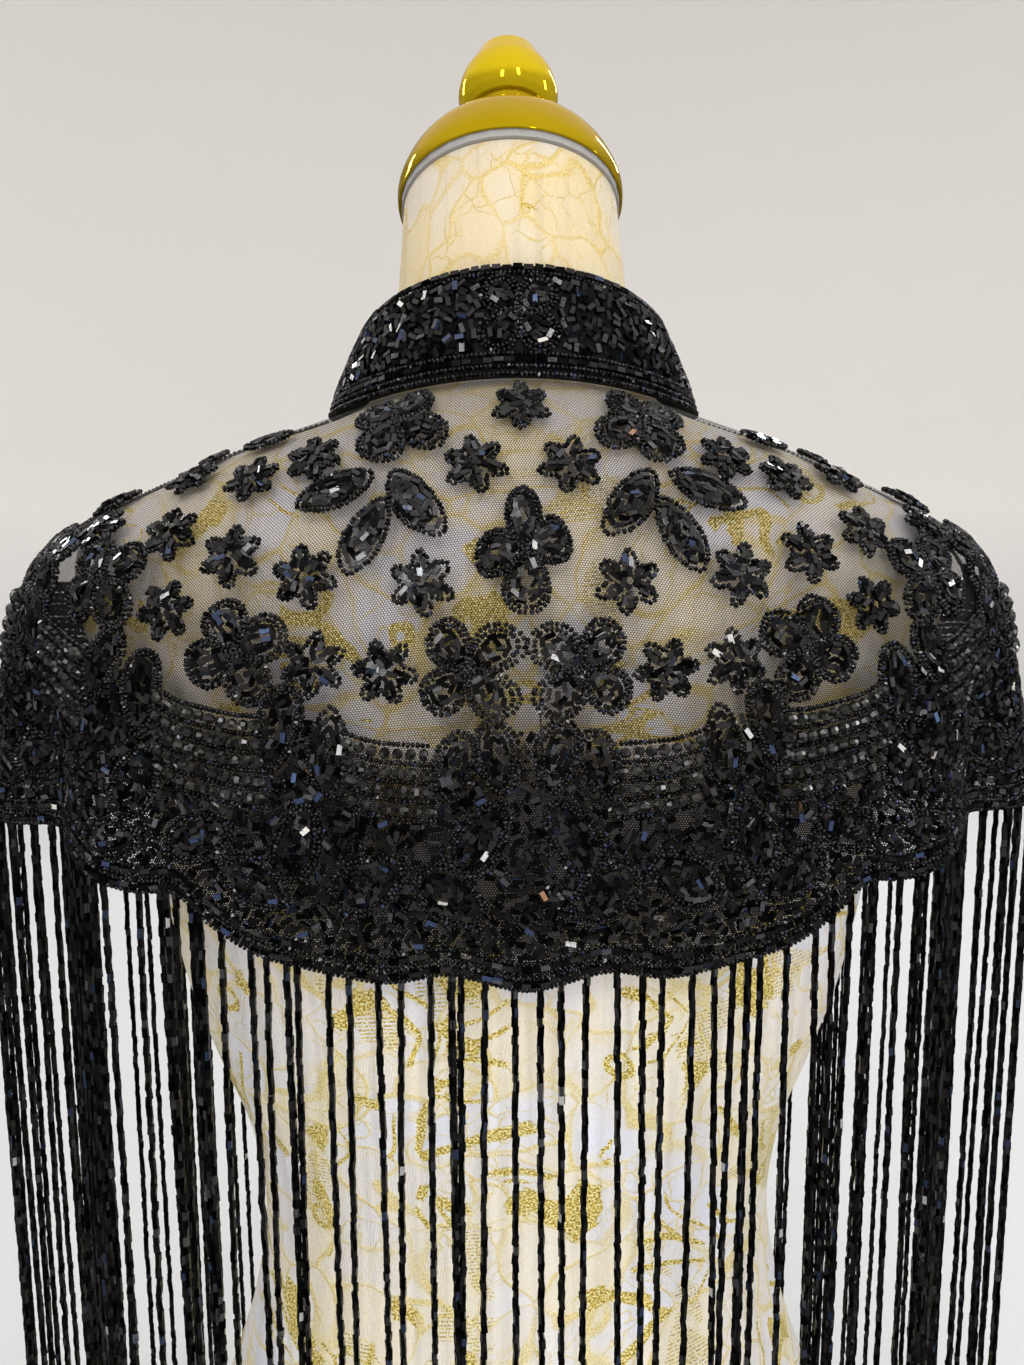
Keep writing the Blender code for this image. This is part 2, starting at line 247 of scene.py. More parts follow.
YOKE_MOTIFS = [
    Motif(Shape.STAR, 0.0, 0.071, 0.0255, 0.0, 0.0),
    Motif(Shape.STAR, 6.2, 0.196, 0.026, 0.0, 12.0),
    Motif(Shape.STAR, 33.2, 0.187, 0.0245, 0.0, 20.0),
    Motif(Shape.STAR, 41.4, 0.234, 0.0245, 0.0, 5.0),
    Motif(Shape.STAR, 44.4, 0.366, 0.025, 0.0, 25.0),
    Motif(Shape.STAR, 32.3, 0.381, 0.026, 0.0, 10.0),
    Motif(Shape.STAR, 21.6, 0.395, 0.026, 0.0, 22.0),
    Motif(Shape.STAR, 8.7, 0.389, 0.026, 0.0, 8.0),
    Motif(Shape.STAR, 37.0, 0.497, 0.0245, 0.0, 0.0),
    Motif(Shape.STAR, 17.9, 0.524, 0.0255, 0.0, 3.0),
    Motif(Shape.STAR, 10.9, 0.522, 0.0255, 0.0, 27.0),
    Motif(Shape.STAR, 58.0, 0.24, 0.0235, 0.0, 15.0),
    Motif(Shape.STAR, 60.0, 0.4, 0.024, 0.0, 5.0),
    Motif(Shape.STAR, 75.0, 0.33, 0.024, 0.0, 20.0),
    Motif(Shape.CLOVER, 0.0, 0.334, 0.045, 0.0175, 0.0),
    Motif(Shape.FLOWER, 3.75, 0.512, 0.04, 0.016, -4.0),
    Motif(Shape.FLOWER, 26.7, 0.529, 0.0385, 0.017, -8.0),
    Motif(Shape.FLOWER, 49.5, 0.49, 0.0385, 0.017, 10.0),
    Motif(Shape.FLOWER, 23.1, 0.108, 0.037, 0.0165, 20.0),
    Motif(Shape.FLOWER, 68.0, 0.5, 0.038, 0.0165, 0.0),
    Motif(Shape.FLOWER, 90.0, 0.44, 0.037, 0.0165, 0.0),
    Motif(Shape.LEAF, 24.5, 0.249, 0.032, 0.0145, 30.0),
    Motif(Shape.LEAF, 16.8, 0.321, 0.033, 0.0145, 68.0),
    Motif(Shape.LEAF, 12.7, 0.263, 0.033, 0.0155, 130.0),
    Motif(Shape.LEAF, 55.0, 0.13, 0.024, 0.012, 20.0),
    Motif(Shape.LEAF, 72.0, 0.17, 0.024, 0.012, -20.0),
]
BORDER_MOTIFS = [
    Motif(Shape.PETAL, 1.9, 0.64, 0.028, 0.016, -78.0),
    Motif(Shape.PETAL, 5.2, 0.655, 0.027, 0.015, -105.0),
    Motif(Shape.LEAF, 16.4, 0.65, 0.033, 0.014, -85.0),
    Motif(Shape.PETAL, 21.4, 0.63, 0.034, 0.016, -95.0),
    Motif(Shape.PETAL, 37.9, 0.638, 0.033, 0.016, -80.0),
    Motif(Shape.PETAL, 44.3, 0.622, 0.032, 0.0155, -100.0),
    Motif(Shape.PETAL, 62.5, 0.625, 0.03, 0.016, -85.0),
    Motif(Shape.LEAF, 66.5, 0.625, 0.03, 0.0135, -100.0),
    Motif(Shape.PETAL, 90.0, 0.63, 0.03, 0.0165, -90.0),
    Motif(Shape.PETAL, 3.6, 0.765, 0.032, 0.018, 60.0),
    Motif(Shape.PETAL, 6.5, 0.86, 0.031, 0.02, -35.0),
    Motif(Shape.PETAL, 13.8, 0.85, 0.032, 0.02, 40.0),
    Motif(Shape.PETAL, 20.5, 0.805, 0.032, 0.018, 80.0),
    Motif(Shape.PETAL, 25.0, 0.885, 0.03, 0.019, -20.0),
    Motif(Shape.PETAL, 31.0, 0.835, 0.03, 0.018, 35.0),
    Motif(Shape.PETAL, 38.5, 0.78, 0.032, 0.019, 75.0),
    Motif(Shape.PETAL, 41.5, 0.885, 0.028, 0.016, 20.0),
    Motif(Shape.PETAL, 50.0, 0.85, 0.03, 0.018, -30.0),
    Motif(Shape.PETAL, 61.0, 0.84, 0.03, 0.019, 30.0),
    Motif(Shape.PETAL, 70.0, 0.88, 0.03, 0.018, -20.0),
    Motif(Shape.PETAL, 79.0, 0.84, 0.03, 0.019, 45.0),
]
BLOCKS = [
    Block(6.6, 15.0, 0.003, 4),
    Block(22.8, 36.0, 0.003, 5),
    Block(46.5, 60.0, 0.003, 5),
    Block(68.5, 86.5, 0.003, 5),
]
STAR_BUGLES = [(0.0034, 0.0, 0.001), (0.0072, 0.0013, 0.0), (0.0084, -0.0009, 0.0004), (0.0055, -0.0012, 0.0005)]
BLOCK_PITCH = 0.0069
ROUND_PITCH = 0.0051
# For each kind in a row: its spacing, its lift, and its length and width with their play.
ROW_BEADS = {
    Bead.SEED: (SEED_PITCH, SEED_LIFT, 0.0019, 0.0019),
    Bead.BUGLE: (BUGLE_PITCH, BUGLE_LIFT, 0.0038, 0.0025),
    Bead.ROUND: (ROUND_PITCH, ROUND_LIFT, 0.0046, 0.0044),
}
# The rows at the hem, each with how far above the edge it lies.
HEM_ROWS = [(Bead.SEED, 0.0006), (Bead.BUGLE, 0.0027), (Bead.SEED, 0.0048), (Bead.SEED, 0.0066), (Bead.BUGLE, 0.0087),
            (Bead.SEED, 0.0108)]

GORES = [Gore("back", 0.0, 19.0), Gore("side_back", 19.0, 43.0), Gore("shoulder", 43.0, 137.0),
         Gore("side_front", 137.0, 161.0), Gore("front", 161.0, 180.1)]
CLUSTERS = {-21.5: 2, -33.5: 3, 19.0: 2, -7.0: 2, 44.0: 4, -44.0: 3, 52.0: 3, -52.0: 2, 127.0: 3, -127.0: 3}
STRAND_PITCH = 0.0102
STRAND_TUCK = 0.004

CAP_LEAN = 20.0
CAP_MIDDLE = Vector((0.0, 0.031, 0.746))


def smooth(value: np.ndarray) -> np.ndarray:
    """An ease from 0 to 1."""
    held = np.clip(value, 0.0, 1.0)
    return held * held * (3.0 - 2.0 * held)


def unit(vectors: np.ndarray) -> np.ndarray:
    """The vectors at length one."""
    return vectors / np.maximum(np.linalg.norm(vectors, axis=-1, keepdims=True), 1e-12)


def arc(points: np.ndarray) -> np.ndarray:
    """How far along a line each of its points lies."""
    return np.concatenate([[0.0], np.cumsum(np.linalg.norm(np.diff(points, axis=0), axis=1))])


def turned(angle: float) -> np.ndarray:
    """The matrix that turns flat places, as rows, by an angle."""
    return np.array([[math.cos(angle), math.sin(angle)], [-math.sin(angle), math.cos(angle)]])


def read_table(table: np.ndarray, row: np.ndarray, column: np.ndarray) -> np.ndarray:
    """A table's values at places between its rows and columns."""
    low = np.clip(row.astype(int), 0, table.shape[0] - 2)
    left = np.clip(column.astype(int), 0, table.shape[1] - 2)
    share, rest = row - low, column - left
    upper = table[low, left] * (1 - rest) + table[low, left + 1] * rest
    under = table[low + 1, left] * (1 - rest) + table[low + 1, left + 1] * rest
    return upper * (1 - share) + under * share


def ring_points(ring: Ring, azimuth: np.ndarray) -> np.ndarray:
    """The points of a section.

    Args:
        ring: The section.
        azimuth: Azimuths in degrees.

    Returns:
        One point for each azimuth.
    """
    across = np.sin(np.radians(azimuth))
    along = np.cos(np.radians(azimuth))
    power = 2.0 / ring.squareness
    behind = along >= 0.0
    reach = np.where(behind, ring.back, ring.front)
    height = np.where(behind, ring.back_z, ring.front_z)
    x = np.sign(across) * np.abs(across) ** power * ring.half_width
    y = ring.middle_y - np.sign(along) * np.abs(along) ** power * reach
    z = ring.side_z + (height - ring.side_z) * np.abs(along) ** ring.saddle
    return np.stack([x, y, z], -1)


def through(points: np.ndarray, share: np.ndarray) -> np.ndarray:
    """Points on smooth curves through rows of points.

    Args:
        points: An array of curves' points, shaped (stations, curves, 3).
        share: How far along its curve each answer lies, from 0 to 1, one for each curve.

    Returns:
        One point for each curve.
    """
    ends = np.concatenate([2 * points[:1] - points[1:2], points, 2 * points[-1:] - points[-2:-1]])
    place = share * (len(points) - 1)
    index = np.clip(np.floor(place).astype(int), 0, len(points) - 2)
    t = (place - index)[:, None]
    curve = np.arange(points.shape[1])
    before, start, end, after = (ends[index + step, curve] for step in range(4))
    square = (2 * before - 5 * start + 4 * end - after) * t**2
    cubic = (3 * start - before - 3 * end + after) * t**3
    return start + ((end - before) * t + square + cubic) / 2


def edge_down(marks: list[Mark], azimuth: np.ndarray) -> np.ndarray:
    """How far down an edge lies, read between its marks."""
    folded = np.minimum(np.abs(azimuth), 180.0 - np.abs(azimuth))
    return np.interp(folded, [mark.azimuth for mark in marks], [mark.down for mark in marks])


@dataclass
class Face:
    """A cloth face that is read by an azimuth and a share down it.

    Attributes:
        raised: How far the face stands off the inner face of the net.
    """

    raised: float = NET_WALL

    def inner(self, azimuth: np.ndarray, down: np.ndarray) -> np.ndarray:
        """The points of the innermost face."""
        raise NotImplementedError

    def steps(self, azimuth: np.ndarray, down: np.ndarray) -> tuple[np.ndarray, np.ndarray]:
        """The change of a point with each degree round and with each unit down."""
        turn, slide = 0.4, 0.008
        low = np.clip(down - slide, -0.02, 1.05)
        high = np.clip(down + slide, -0.02, 1.05)
        round_it = (self.inner(azimuth + turn, down) - self.inner(azimuth - turn, down)) / (2 * turn)
        down_it = (self.inner(azimuth, high) - self.inner(azimuth, low)) / (high - low)[:, None]
        return round_it, down_it

    def points(self, azimuth: np.ndarray, down: np.ndarray) -> np.ndarray:
        """The points of the raised face."""
        round_it, down_it = self.steps(azimuth, down)
        return self.inner(azimuth, down) + unit(np.cross(down_it, round_it)) * self.raised

    def axes(self, azimuth: np.ndarray, down: np.ndarray) -> tuple[np.ndarray, np.ndarray, np.ndarray]:
        """The unit directions to the right, down the face and out of it."""
        round_it, down_it = self.steps(azimuth, down)
        right = unit(round_it)
        out = unit(np.cross(down_it, round_it))
        return right, np.cross(right, out), out

    def near(self, azimuth: float, down: float, offsets: np.ndarray) -> tuple[np.ndarray, np.ndarray]:
        """Where lengths to the right and down from a place lie.

        Args:
            azimuth: The place's azimuth.
            down: How far down it is.
            offsets: Lengths to the right and down, shaped (n, 2).

        Returns:
            The azimuths and the shares down.
        """
        at, below = np.array([azimuth]), np.array([down])
        round_it, down_it = self.steps(at, below)
        right, lower, _ = self.axes(at, below)
        fall = offsets[:, 1] / float((down_it @ lower[0])[0])
        turn = (offsets[:, 0] - fall * float((down_it @ right[0])[0])) / float((round_it @ right[0])[0])
        return azimuth + turn, down + fall


@dataclass
class Cape(Face):
    """The net's face."""

    def inner(self, azimuth: np.ndarray, down: np.ndarray) -> np.ndarray:
        """The inner face of the net, flutes included."""
        azimuth, down = np.broadcast_arrays(np.asarray(azimuth, float), np.asarray(down, float))
        wrapped = (azimuth + 180.0) % 360.0 - 180.0
        point = through(np.stack([ring_points(ring, wrapped) for ring in CAPE_RINGS]), down)
        stand = np.zeros(len(wrapped))
        for flute in FLUTES:
            off = (np.abs(wrapped) - flute.azimuth) / flute.spread
            stand += flute.reach * np.exp(-FLUTE_SHARPNESS * off * off)
        last = CAPE_RINGS[-1]
        depth = np.where(point[:, 1] < 0.0, last.back, last.front)
        outward = np.stack([point[:, 0] / last.half_width**2, point[:, 1] / depth**2, 0.0 * depth], -1)
        grown = smooth((down - FLUTE_START) / (1.0 - FLUTE_START))
        return point + unit(outward) * (stand * grown)[:, None]


@dataclass
class Collar(Face):
    """The collar's face, down from its top edge to its foot on the neckline."""

    cape: Cape = field(default_factory=Cape)

    def inner(self, azimuth: np.ndarray, down: np.ndarray) -> np.ndarray:
        """The inner face of the collar."""
        azimuth, down = np.broadcast_arrays(np.asarray(azimuth, float), np.asarray(down, float))
        neckline = np.zeros(len(azimuth))
        _, _, out = self.cape.axes(azimuth, neckline)
        foot = self.cape.inner(azimuth, neckline) + out * (NET_WALL + GAP)
        stations = [ring_points(COLLAR_TOP, azimuth), ring_points(COLLAR_MIDDLE, azimuth), foot]
        return through(np.stack(stations), down)


@dataclass
class Chart:
    """A flat map of a face: lengths round it at one row, and lengths down from another.

    Attributes:
        face: The face.
        row: The row where lengths round are true.
        top: The row where lengths down start.
        ends: The azimuths that the map covers.
    """

    face: Face
    row: float
    top: float
    ends: tuple[float, float] = (-180.0, 180.0)

    def __post_init__(self) -> None:
        """Measures the face."""
        self.azimuths = np.arange(self.ends[0], self.ends[1] + 0.01, 0.5)
        line = self.face.points(self.azimuths, np.full(len(self.azimuths), self.row))
        self.round = arc(line)
        self.round -= np.interp(0.0, self.azimuths, self.round)
        _, down_it = self.face.steps(self.azimuths, np.full(len(self.azimuths), self.row))
        self.fall = np.linalg.norm(down_it, axis=1)

    def flat(self, azimuth: np.ndarray, down: np.ndarray) -> tuple[np.ndarray, np.ndarray]:
        """The place on the map of points on the face."""
        across = np.interp(azimuth, self.azimuths, self.round)
        return across, (np.asarray(down) - self.top) * np.interp(azimuth, self.azimuths, self.fall)

    def lift(self, across: np.ndarray, along: np.ndarray) -> tuple[np.ndarray, np.ndarray]:
        """The place on the face of points on the map."""
        azimuth = np.interp(across, self.round, self.azimuths)
        return azimuth, self.top + np.asarray(along) / np.interp(azimuth, self.azimuths, self.fall)


@dataclass
class Beads:
    """Beads gathered for one piece.

    Attributes:
        face: The face they lie on.
        seed: The seed of their scatter.
    """

    face: Face
    seed: int = 1
    rows: dict[Bead, list[tuple[np.ndarray, ...]]] = field(default_factory=dict)

    def __post_init__(self) -> None:
        """Starts the scatter."""
        self.random = np.random.default_rng(self.seed)

    def lay(self, kind: Bead, azimuth: np.ndarray, down: np.ndarray, turn: np.ndarray, lift: float) -> None:
        """Lays beads on the face.

        Args:
            kind: Their kind.
            azimuth: Their azimuths.
            down: How far down they lie.
            turn: The way their holes point, in radians from the right towards down.
            lift: How far their middles stand off the face.
        """
        azimuth, down = np.atleast_1d(azimuth), np.atleast_1d(down)
        right, lower, out = self.face.axes(azimuth, down)
        turn = np.broadcast_to(np.asarray(turn, float), azimuth.shape)[:, None]
        along = right * np.cos(turn) + lower * np.sin(turn)
        place = self.face.points(azimuth, down) + out * lift
        self.put(kind, place, along, out)

    def put(self, kind: Bead, place: np.ndarray, along: np.ndarray, out: np.ndarray) -> None:
        """Adds beads at points, with their holes along one direction and their tops along another."""
        self.rows.setdefault(kind, []).append((place, along, out))

    def share(self, seed: int, test: Callable[[np.ndarray], np.ndarray]) -> "Beads":
        """The beads whose places pass a test, for a piece of their own."""
        share = Beads(self.face, seed)
        for kind, rows in self.rows.items():
            for place, along, out in rows:
                keep = test(place)
                if keep.any():
                    share.put(kind, place[keep], along[keep], out[keep])
        return share


@dataclass
class Packing:
    """A map of what is already covered, so that loose beads fill only what is bare.

    Attributes:
        chart: The flat map of the face.
        depth: How far down the map reaches.
        cell: The size of a cell.
        margin: How many spare cells the map has on each side.
        facing: The angle between two prints of a bead, in degrees.
    """

    chart: Chart
    depth: float
    cell: float = 0.0003
    margin: int = 20
    facing: float = 10.0

    def __post_init__(self) -> None:
        """Makes an empty map."""
        self.left = self.chart.round[0]
        width = int((self.chart.round[-1] - self.left) / self.cell) + 2 * self.margin
        self.taken = np.zeros((width, int(self.depth / self.cell) + 2 * self.margin), bool)
        self.prints: dict[tuple[float, float, int], np.ndarray] = {}

    def footprint(self, length: float, width: float, turn: float) -> np.ndarray:
        """The cells under a bead of a size and turn, about its own middle."""
        step = int(round(turn / math.radians(self.facing))) % int(180.0 / self.facing)
        key = (length, width, step)
        if key not in self.prints:
            reach = int(length / self.cell) + 1
            grid = np.stack(np.meshgrid(np.arange(-reach, reach + 1), np.arange(-reach, reach + 1)), -1).reshape(-1, 2)
            angle = math.radians(self.facing) * step
            along = grid @ np.array([math.cos(angle), math.sin(angle)]) * self.cell
            across = grid @ np.array([-math.sin(angle), math.cos(angle)]) * self.cell
            self.prints[key] = grid[(np.abs(along) <= length / 2) & (np.abs(across) <= width / 2)]
        return self.prints[key]

    def cells(self, across: float, along: float, length: float, width: float, turn: float) -> tuple[np.ndarray, ...]:
        """The map's cells under a bead, as an index."""
        middle = np.array([int((across - self.left) / self.cell), int(along / self.cell)]) + self.margin
        spots = np.clip(self.footprint(length, width, turn) + middle, 0, np.array(self.taken.shape) - 1)
        return spots[:, 0], spots[:, 1]

    def mark(self, azimuth: np.ndarray, down: np.ndarray, turn: np.ndarray, length: float, width: float) -> None:
        """Marks beads as laid."""
        azimuth = np.atleast_1d(azimuth)
        across, along = self.chart.flat(azimuth, np.atleast_1d(down))
        for u, v, angle in zip(across, along, np.broadcast_to(turn, azimuth.shape)):
            self.taken[self.cells(u, v, length, width, float(angle))] = True

    def fill(
        self,
        random: np.random.Generator,
        inside: Callable[[np.ndarray, np.ndarray], np.ndarray],
        length: float,
        width: float,
        pitch: float,
        tries: int,
        bias: Callable[[np.ndarray, np.ndarray], np.ndarray] | None = None,
    ) -> tuple[np.ndarray, np.ndarray, np.ndarray]:
        """Finds places for loose beads.

        Args:
            random: The scatter.
            inside: Tells which places (azimuth, down) may hold a bead.
            length: A bead's length with its play.
            width: A bead's width with its play.
            pitch: The spacing of the places tried.
            tries: How many turns are tried at each place.
            bias: The turn tried first at a place, if not any.

        Returns:
            The beads' azimuths, shares down and turns.
        """
        us = np.arange(self.chart.round[0], self.chart.round[-1], pitch)
        vs = np.arange(0.0, self.depth, pitch)
        grid = np.stack(np.meshgrid(us, vs), -1).reshape(-1, 2)
        grid = grid + random.uniform(-pitch / 2, pitch / 2, grid.shape)
        azimuth, down = self.chart.lift(grid[:, 0], grid[:, 1])
        keep = inside(azimuth, down)
        grid, azimuth, down = grid[keep], azimuth[keep], down[keep]
        order = random.permutation(len(grid))
        first = bias(azimuth, down) if bias else random.uniform(0.0, math.pi, len(grid))
        kept, turns = [], []
        for index in order:
            for attempt in range(tries):
                turn = float(first[index]) + attempt * math.pi / tries
                cells = self.cells(grid[index, 0], grid[index, 1], length, width, turn)
                if not self.taken[cells].any():
                    self.taken[cells] = True
                    kept.append(index)
                    turns.append(turn)
                    break
        return azimuth[kept], down[kept], np.array(turns)


def loop_of(motif_length: float, width: float, pointed: bool, inset: float) -> np.ndarray:
    """A petal's or a leaf's closed outline, its tip to the right.

    Args:
        motif_length: Its length.
        width: Its width.
        pointed: Whether its ends are points, as a leaf's.
        inset: How far inside the outline the loop lies.

    Returns:
        The loop's points, shaped (n, 2).
    """
    t = np.linspace(0.0, 2 * math.pi, 73)
    x = (motif_length / 2 - inset * (1.5 if pointed else 1.0)) * np.cos(t)
    half = width / 2 - inset
    y = half * np.sin(t) * (np.abs(np.sin(t)) ** 0.35 if pointed else (1.0 + 0.22 * np.cos(t)))
    return np.stack([x, y], -1)


def star_loop(across: float) -> np.ndarray:
    """The closed outline of a star with six blunt rays."""
    points = []
    for ray in range(6):
        middle = math.radians(60.0 * ray - 90.0)
        for turn, reach in ((-30.0, 0.54), (-9.0, 0.88), (0.0, 0.97), (9.0, 0.88)):
            angle = middle + math.radians(turn)
            points.append((math.cos(angle) * reach * across / 2, math.sin(angle) * reach * across / 2))
    return np.array([*points, points[0]])


def spaced(path: np.ndarray, pitch: float) -> tuple[np.ndarray, np.ndarray]:
    """Evenly spaced places along a flat path.

    Args:
        path: The path's points, shaped (n, 2).
        pitch: The spacing wanted, which is rounded to fit.

    Returns:
        The places and the path's turn at each, in radians.
    """
    steps, ends = np.diff(path, axis=0), arc(path)
    count = max(int(round(ends[-1] / pitch)), 1)
    where = (np.arange(count) + 0.5) * ends[-1] / count
    places = np.stack([np.interp(where, ends, path[:, axis]) for axis in range(2)], -1)
    index = np.clip(np.searchsorted(ends, where) - 1, 0, len(steps) - 1)
    return places, np.arctan2(steps[index, 1], steps[index, 0])


@dataclass
class Needle:
    """Sews motifs onto a face.

    Attributes:
        beads: Where the beads go.
        packing: The map of what is covered, if loose beads follow.
        seed_play: How far a seed strays from its line.
        bugle_play: How far a bugle does.
        top: How far down the first bead may lie.
    """

    beads: Beads
    packing: Packing | None = None
    seed_play: float = 0.00018
    bugle_play: float = 0.00028
    top: float = 0.003

    def sew(self, kind: Bead, spot: tuple[float, float], flat: np.ndarray, turn: np.ndarray, lift: float) -> None:
        """Sews beads at lengths from a place."""
        azimuth, down = self.beads.face.near(spot[0], spot[1], flat)
        folded = np.abs((azimuth + 180.0) % 360.0 - 180.0)
        keep = (folded < SEWN_END) & (down > self.top)
        if not keep.any():
            return
        turn = np.broadcast_to(turn, azimuth.shape)[keep]
        self.beads.lay(kind, azimuth[keep], down[keep], turn, lift)
        if self.packing:
            length, width = (0.0038, 0.0024) if kind is Bead.BUGLE else (0.0018, 0.0018)
            self.packing.mark(azimuth[keep], down[keep], turn, length, width)

    def petal(self, spot: tuple[float, float], place: np.ndarray, size: tuple[float, float], turn: float,
              pointed: bool, mirror: float) -> None:
        """Sews an outlined petal or leaf with rows of bugles inside it.

        Args:
            spot: The motif's place on the face.
            place: The petal's middle, from the spot.
            size: Its length and width.
            turn: The way its tip points, in degrees.
            pointed: Whether it is a leaf.
            mirror: -1 to turn it over.
        """
        angle = math.radians(turn)
        jitter = self.beads.random
        rows = (0.0, 0.0023, 0.0045, 0.0068) if pointed else (0.0, 0.0018, 0.0041, 0.0063, 0.0085)
        for inset in rows:
            if min(size) / 2 - inset < 0.0004:
                break
            seeds = inset < 0.002
            kind, pitch = (Bead.SEED, SEED_PITCH) if seeds else (Bead.BUGLE, BUGLE_PITCH * 0.92)
            flat, way = spaced(loop_of(*size, pointed, inset), pitch)
            way = way + angle
            play = self.seed_play if seeds else self.bugle_play
            flat = flat @ turned(angle) + place + jitter.normal(0.0, play, flat.shape)
            if not seeds:
                way = way + jitter.normal(0.0, 0.2 if inset < 0.0045 else 0.7, way.shape)
            flat[:, 0] *= mirror
            way = way if mirror > 0 else math.pi - way
            self.sew(kind, spot, flat, way, SEED_LIFT if seeds else BUGLE_LIFT)

    def star(self, spot: tuple[float, float], motif: Motif, mirror: float) -> None:
        """Sews a star: seeds round its six rays and bugles along them."""
        angle, jitter = math.radians(motif.turn) * mirror, self.beads.random
        flat, way = spaced(star_loop(motif.length), SEED_PITCH)
        flat = flat + jitter.normal(0.0, self.seed_play, flat.shape)
        self.sew(Bead.SEED, spot, flat @ turned(angle), way + angle, SEED_LIFT)
        for ray in range(6):
            way = angle + math.radians(60.0 * ray - 90.0 + jitter.normal(0.0, 5.0))
            tip = np.array([[motif.length * 0.385, 0.0]])
            self.sew(Bead.SEED, spot, tip @ turned(way), np.array([way]), SEED_LIFT + 0.0003)
            for reach, shift, lift in STAR_BUGLES:
                turn = np.array([way + jitter.normal(0.0, 0.18)])
                self.sew(Bead.BUGLE, spot, np.array([[reach, shift]]) @ turned(way), turn, BUGLE_LIFT + lift)
        loose = jitter.uniform(-0.005, 0.005, (5, 2))
        self.sew(Bead.BUGLE, spot, loose, jitter.uniform(0.0, math.pi, 5), BUGLE_LIFT + 0.0013)

    def motif(self, motif: Motif, azimuth: float, mirror: float) -> None:
        """Sews one motif.

        Args:
            motif: The motif.
            azimuth: Where its middle goes.
            mirror: -1 to turn it over.
        """
        spot = (azimuth, motif.down)
        size = (motif.length, motif.width)
        if motif.shape is Shape.STAR:
            self.star(spot, motif, mirror)
        elif motif.shape in (Shape.PETAL, Shape.LEAF):
            self.petal(spot, np.zeros(2), size, motif.turn, motif.shape is Shape.LEAF, mirror)
        else:
            turns = (45.0, 135.0, 225.0, 315.0) if motif.shape is Shape.FLOWER else (-92.0, -12.0, 88.0, 172.0)
            petal = (motif.length * 0.53, motif.width)
            for turn in turns:
                place = np.array([motif.length * 0.275, 0.0]) @ turned(math.radians(turn + motif.turn))
                self.petal(spot, place, petal, turn + motif.turn, False, mirror)

    def quarters(self, motifs: Iterable[Motif]) -> None:
        """Sews motifs on all four quarters of the cape."""
        for motif in motifs:
            self.motif(motif, motif.azimuth, 1.0)
            if motif.azimuth > 0.5:
                self.motif(motif, -motif.azimuth, -1.0)
            if 4.0 < motif.azimuth < 89.0:
                self.motif(motif, 180.0 - motif.azimuth, -1.0)
                self.motif(motif, motif.azimuth - 180.0, 1.0)


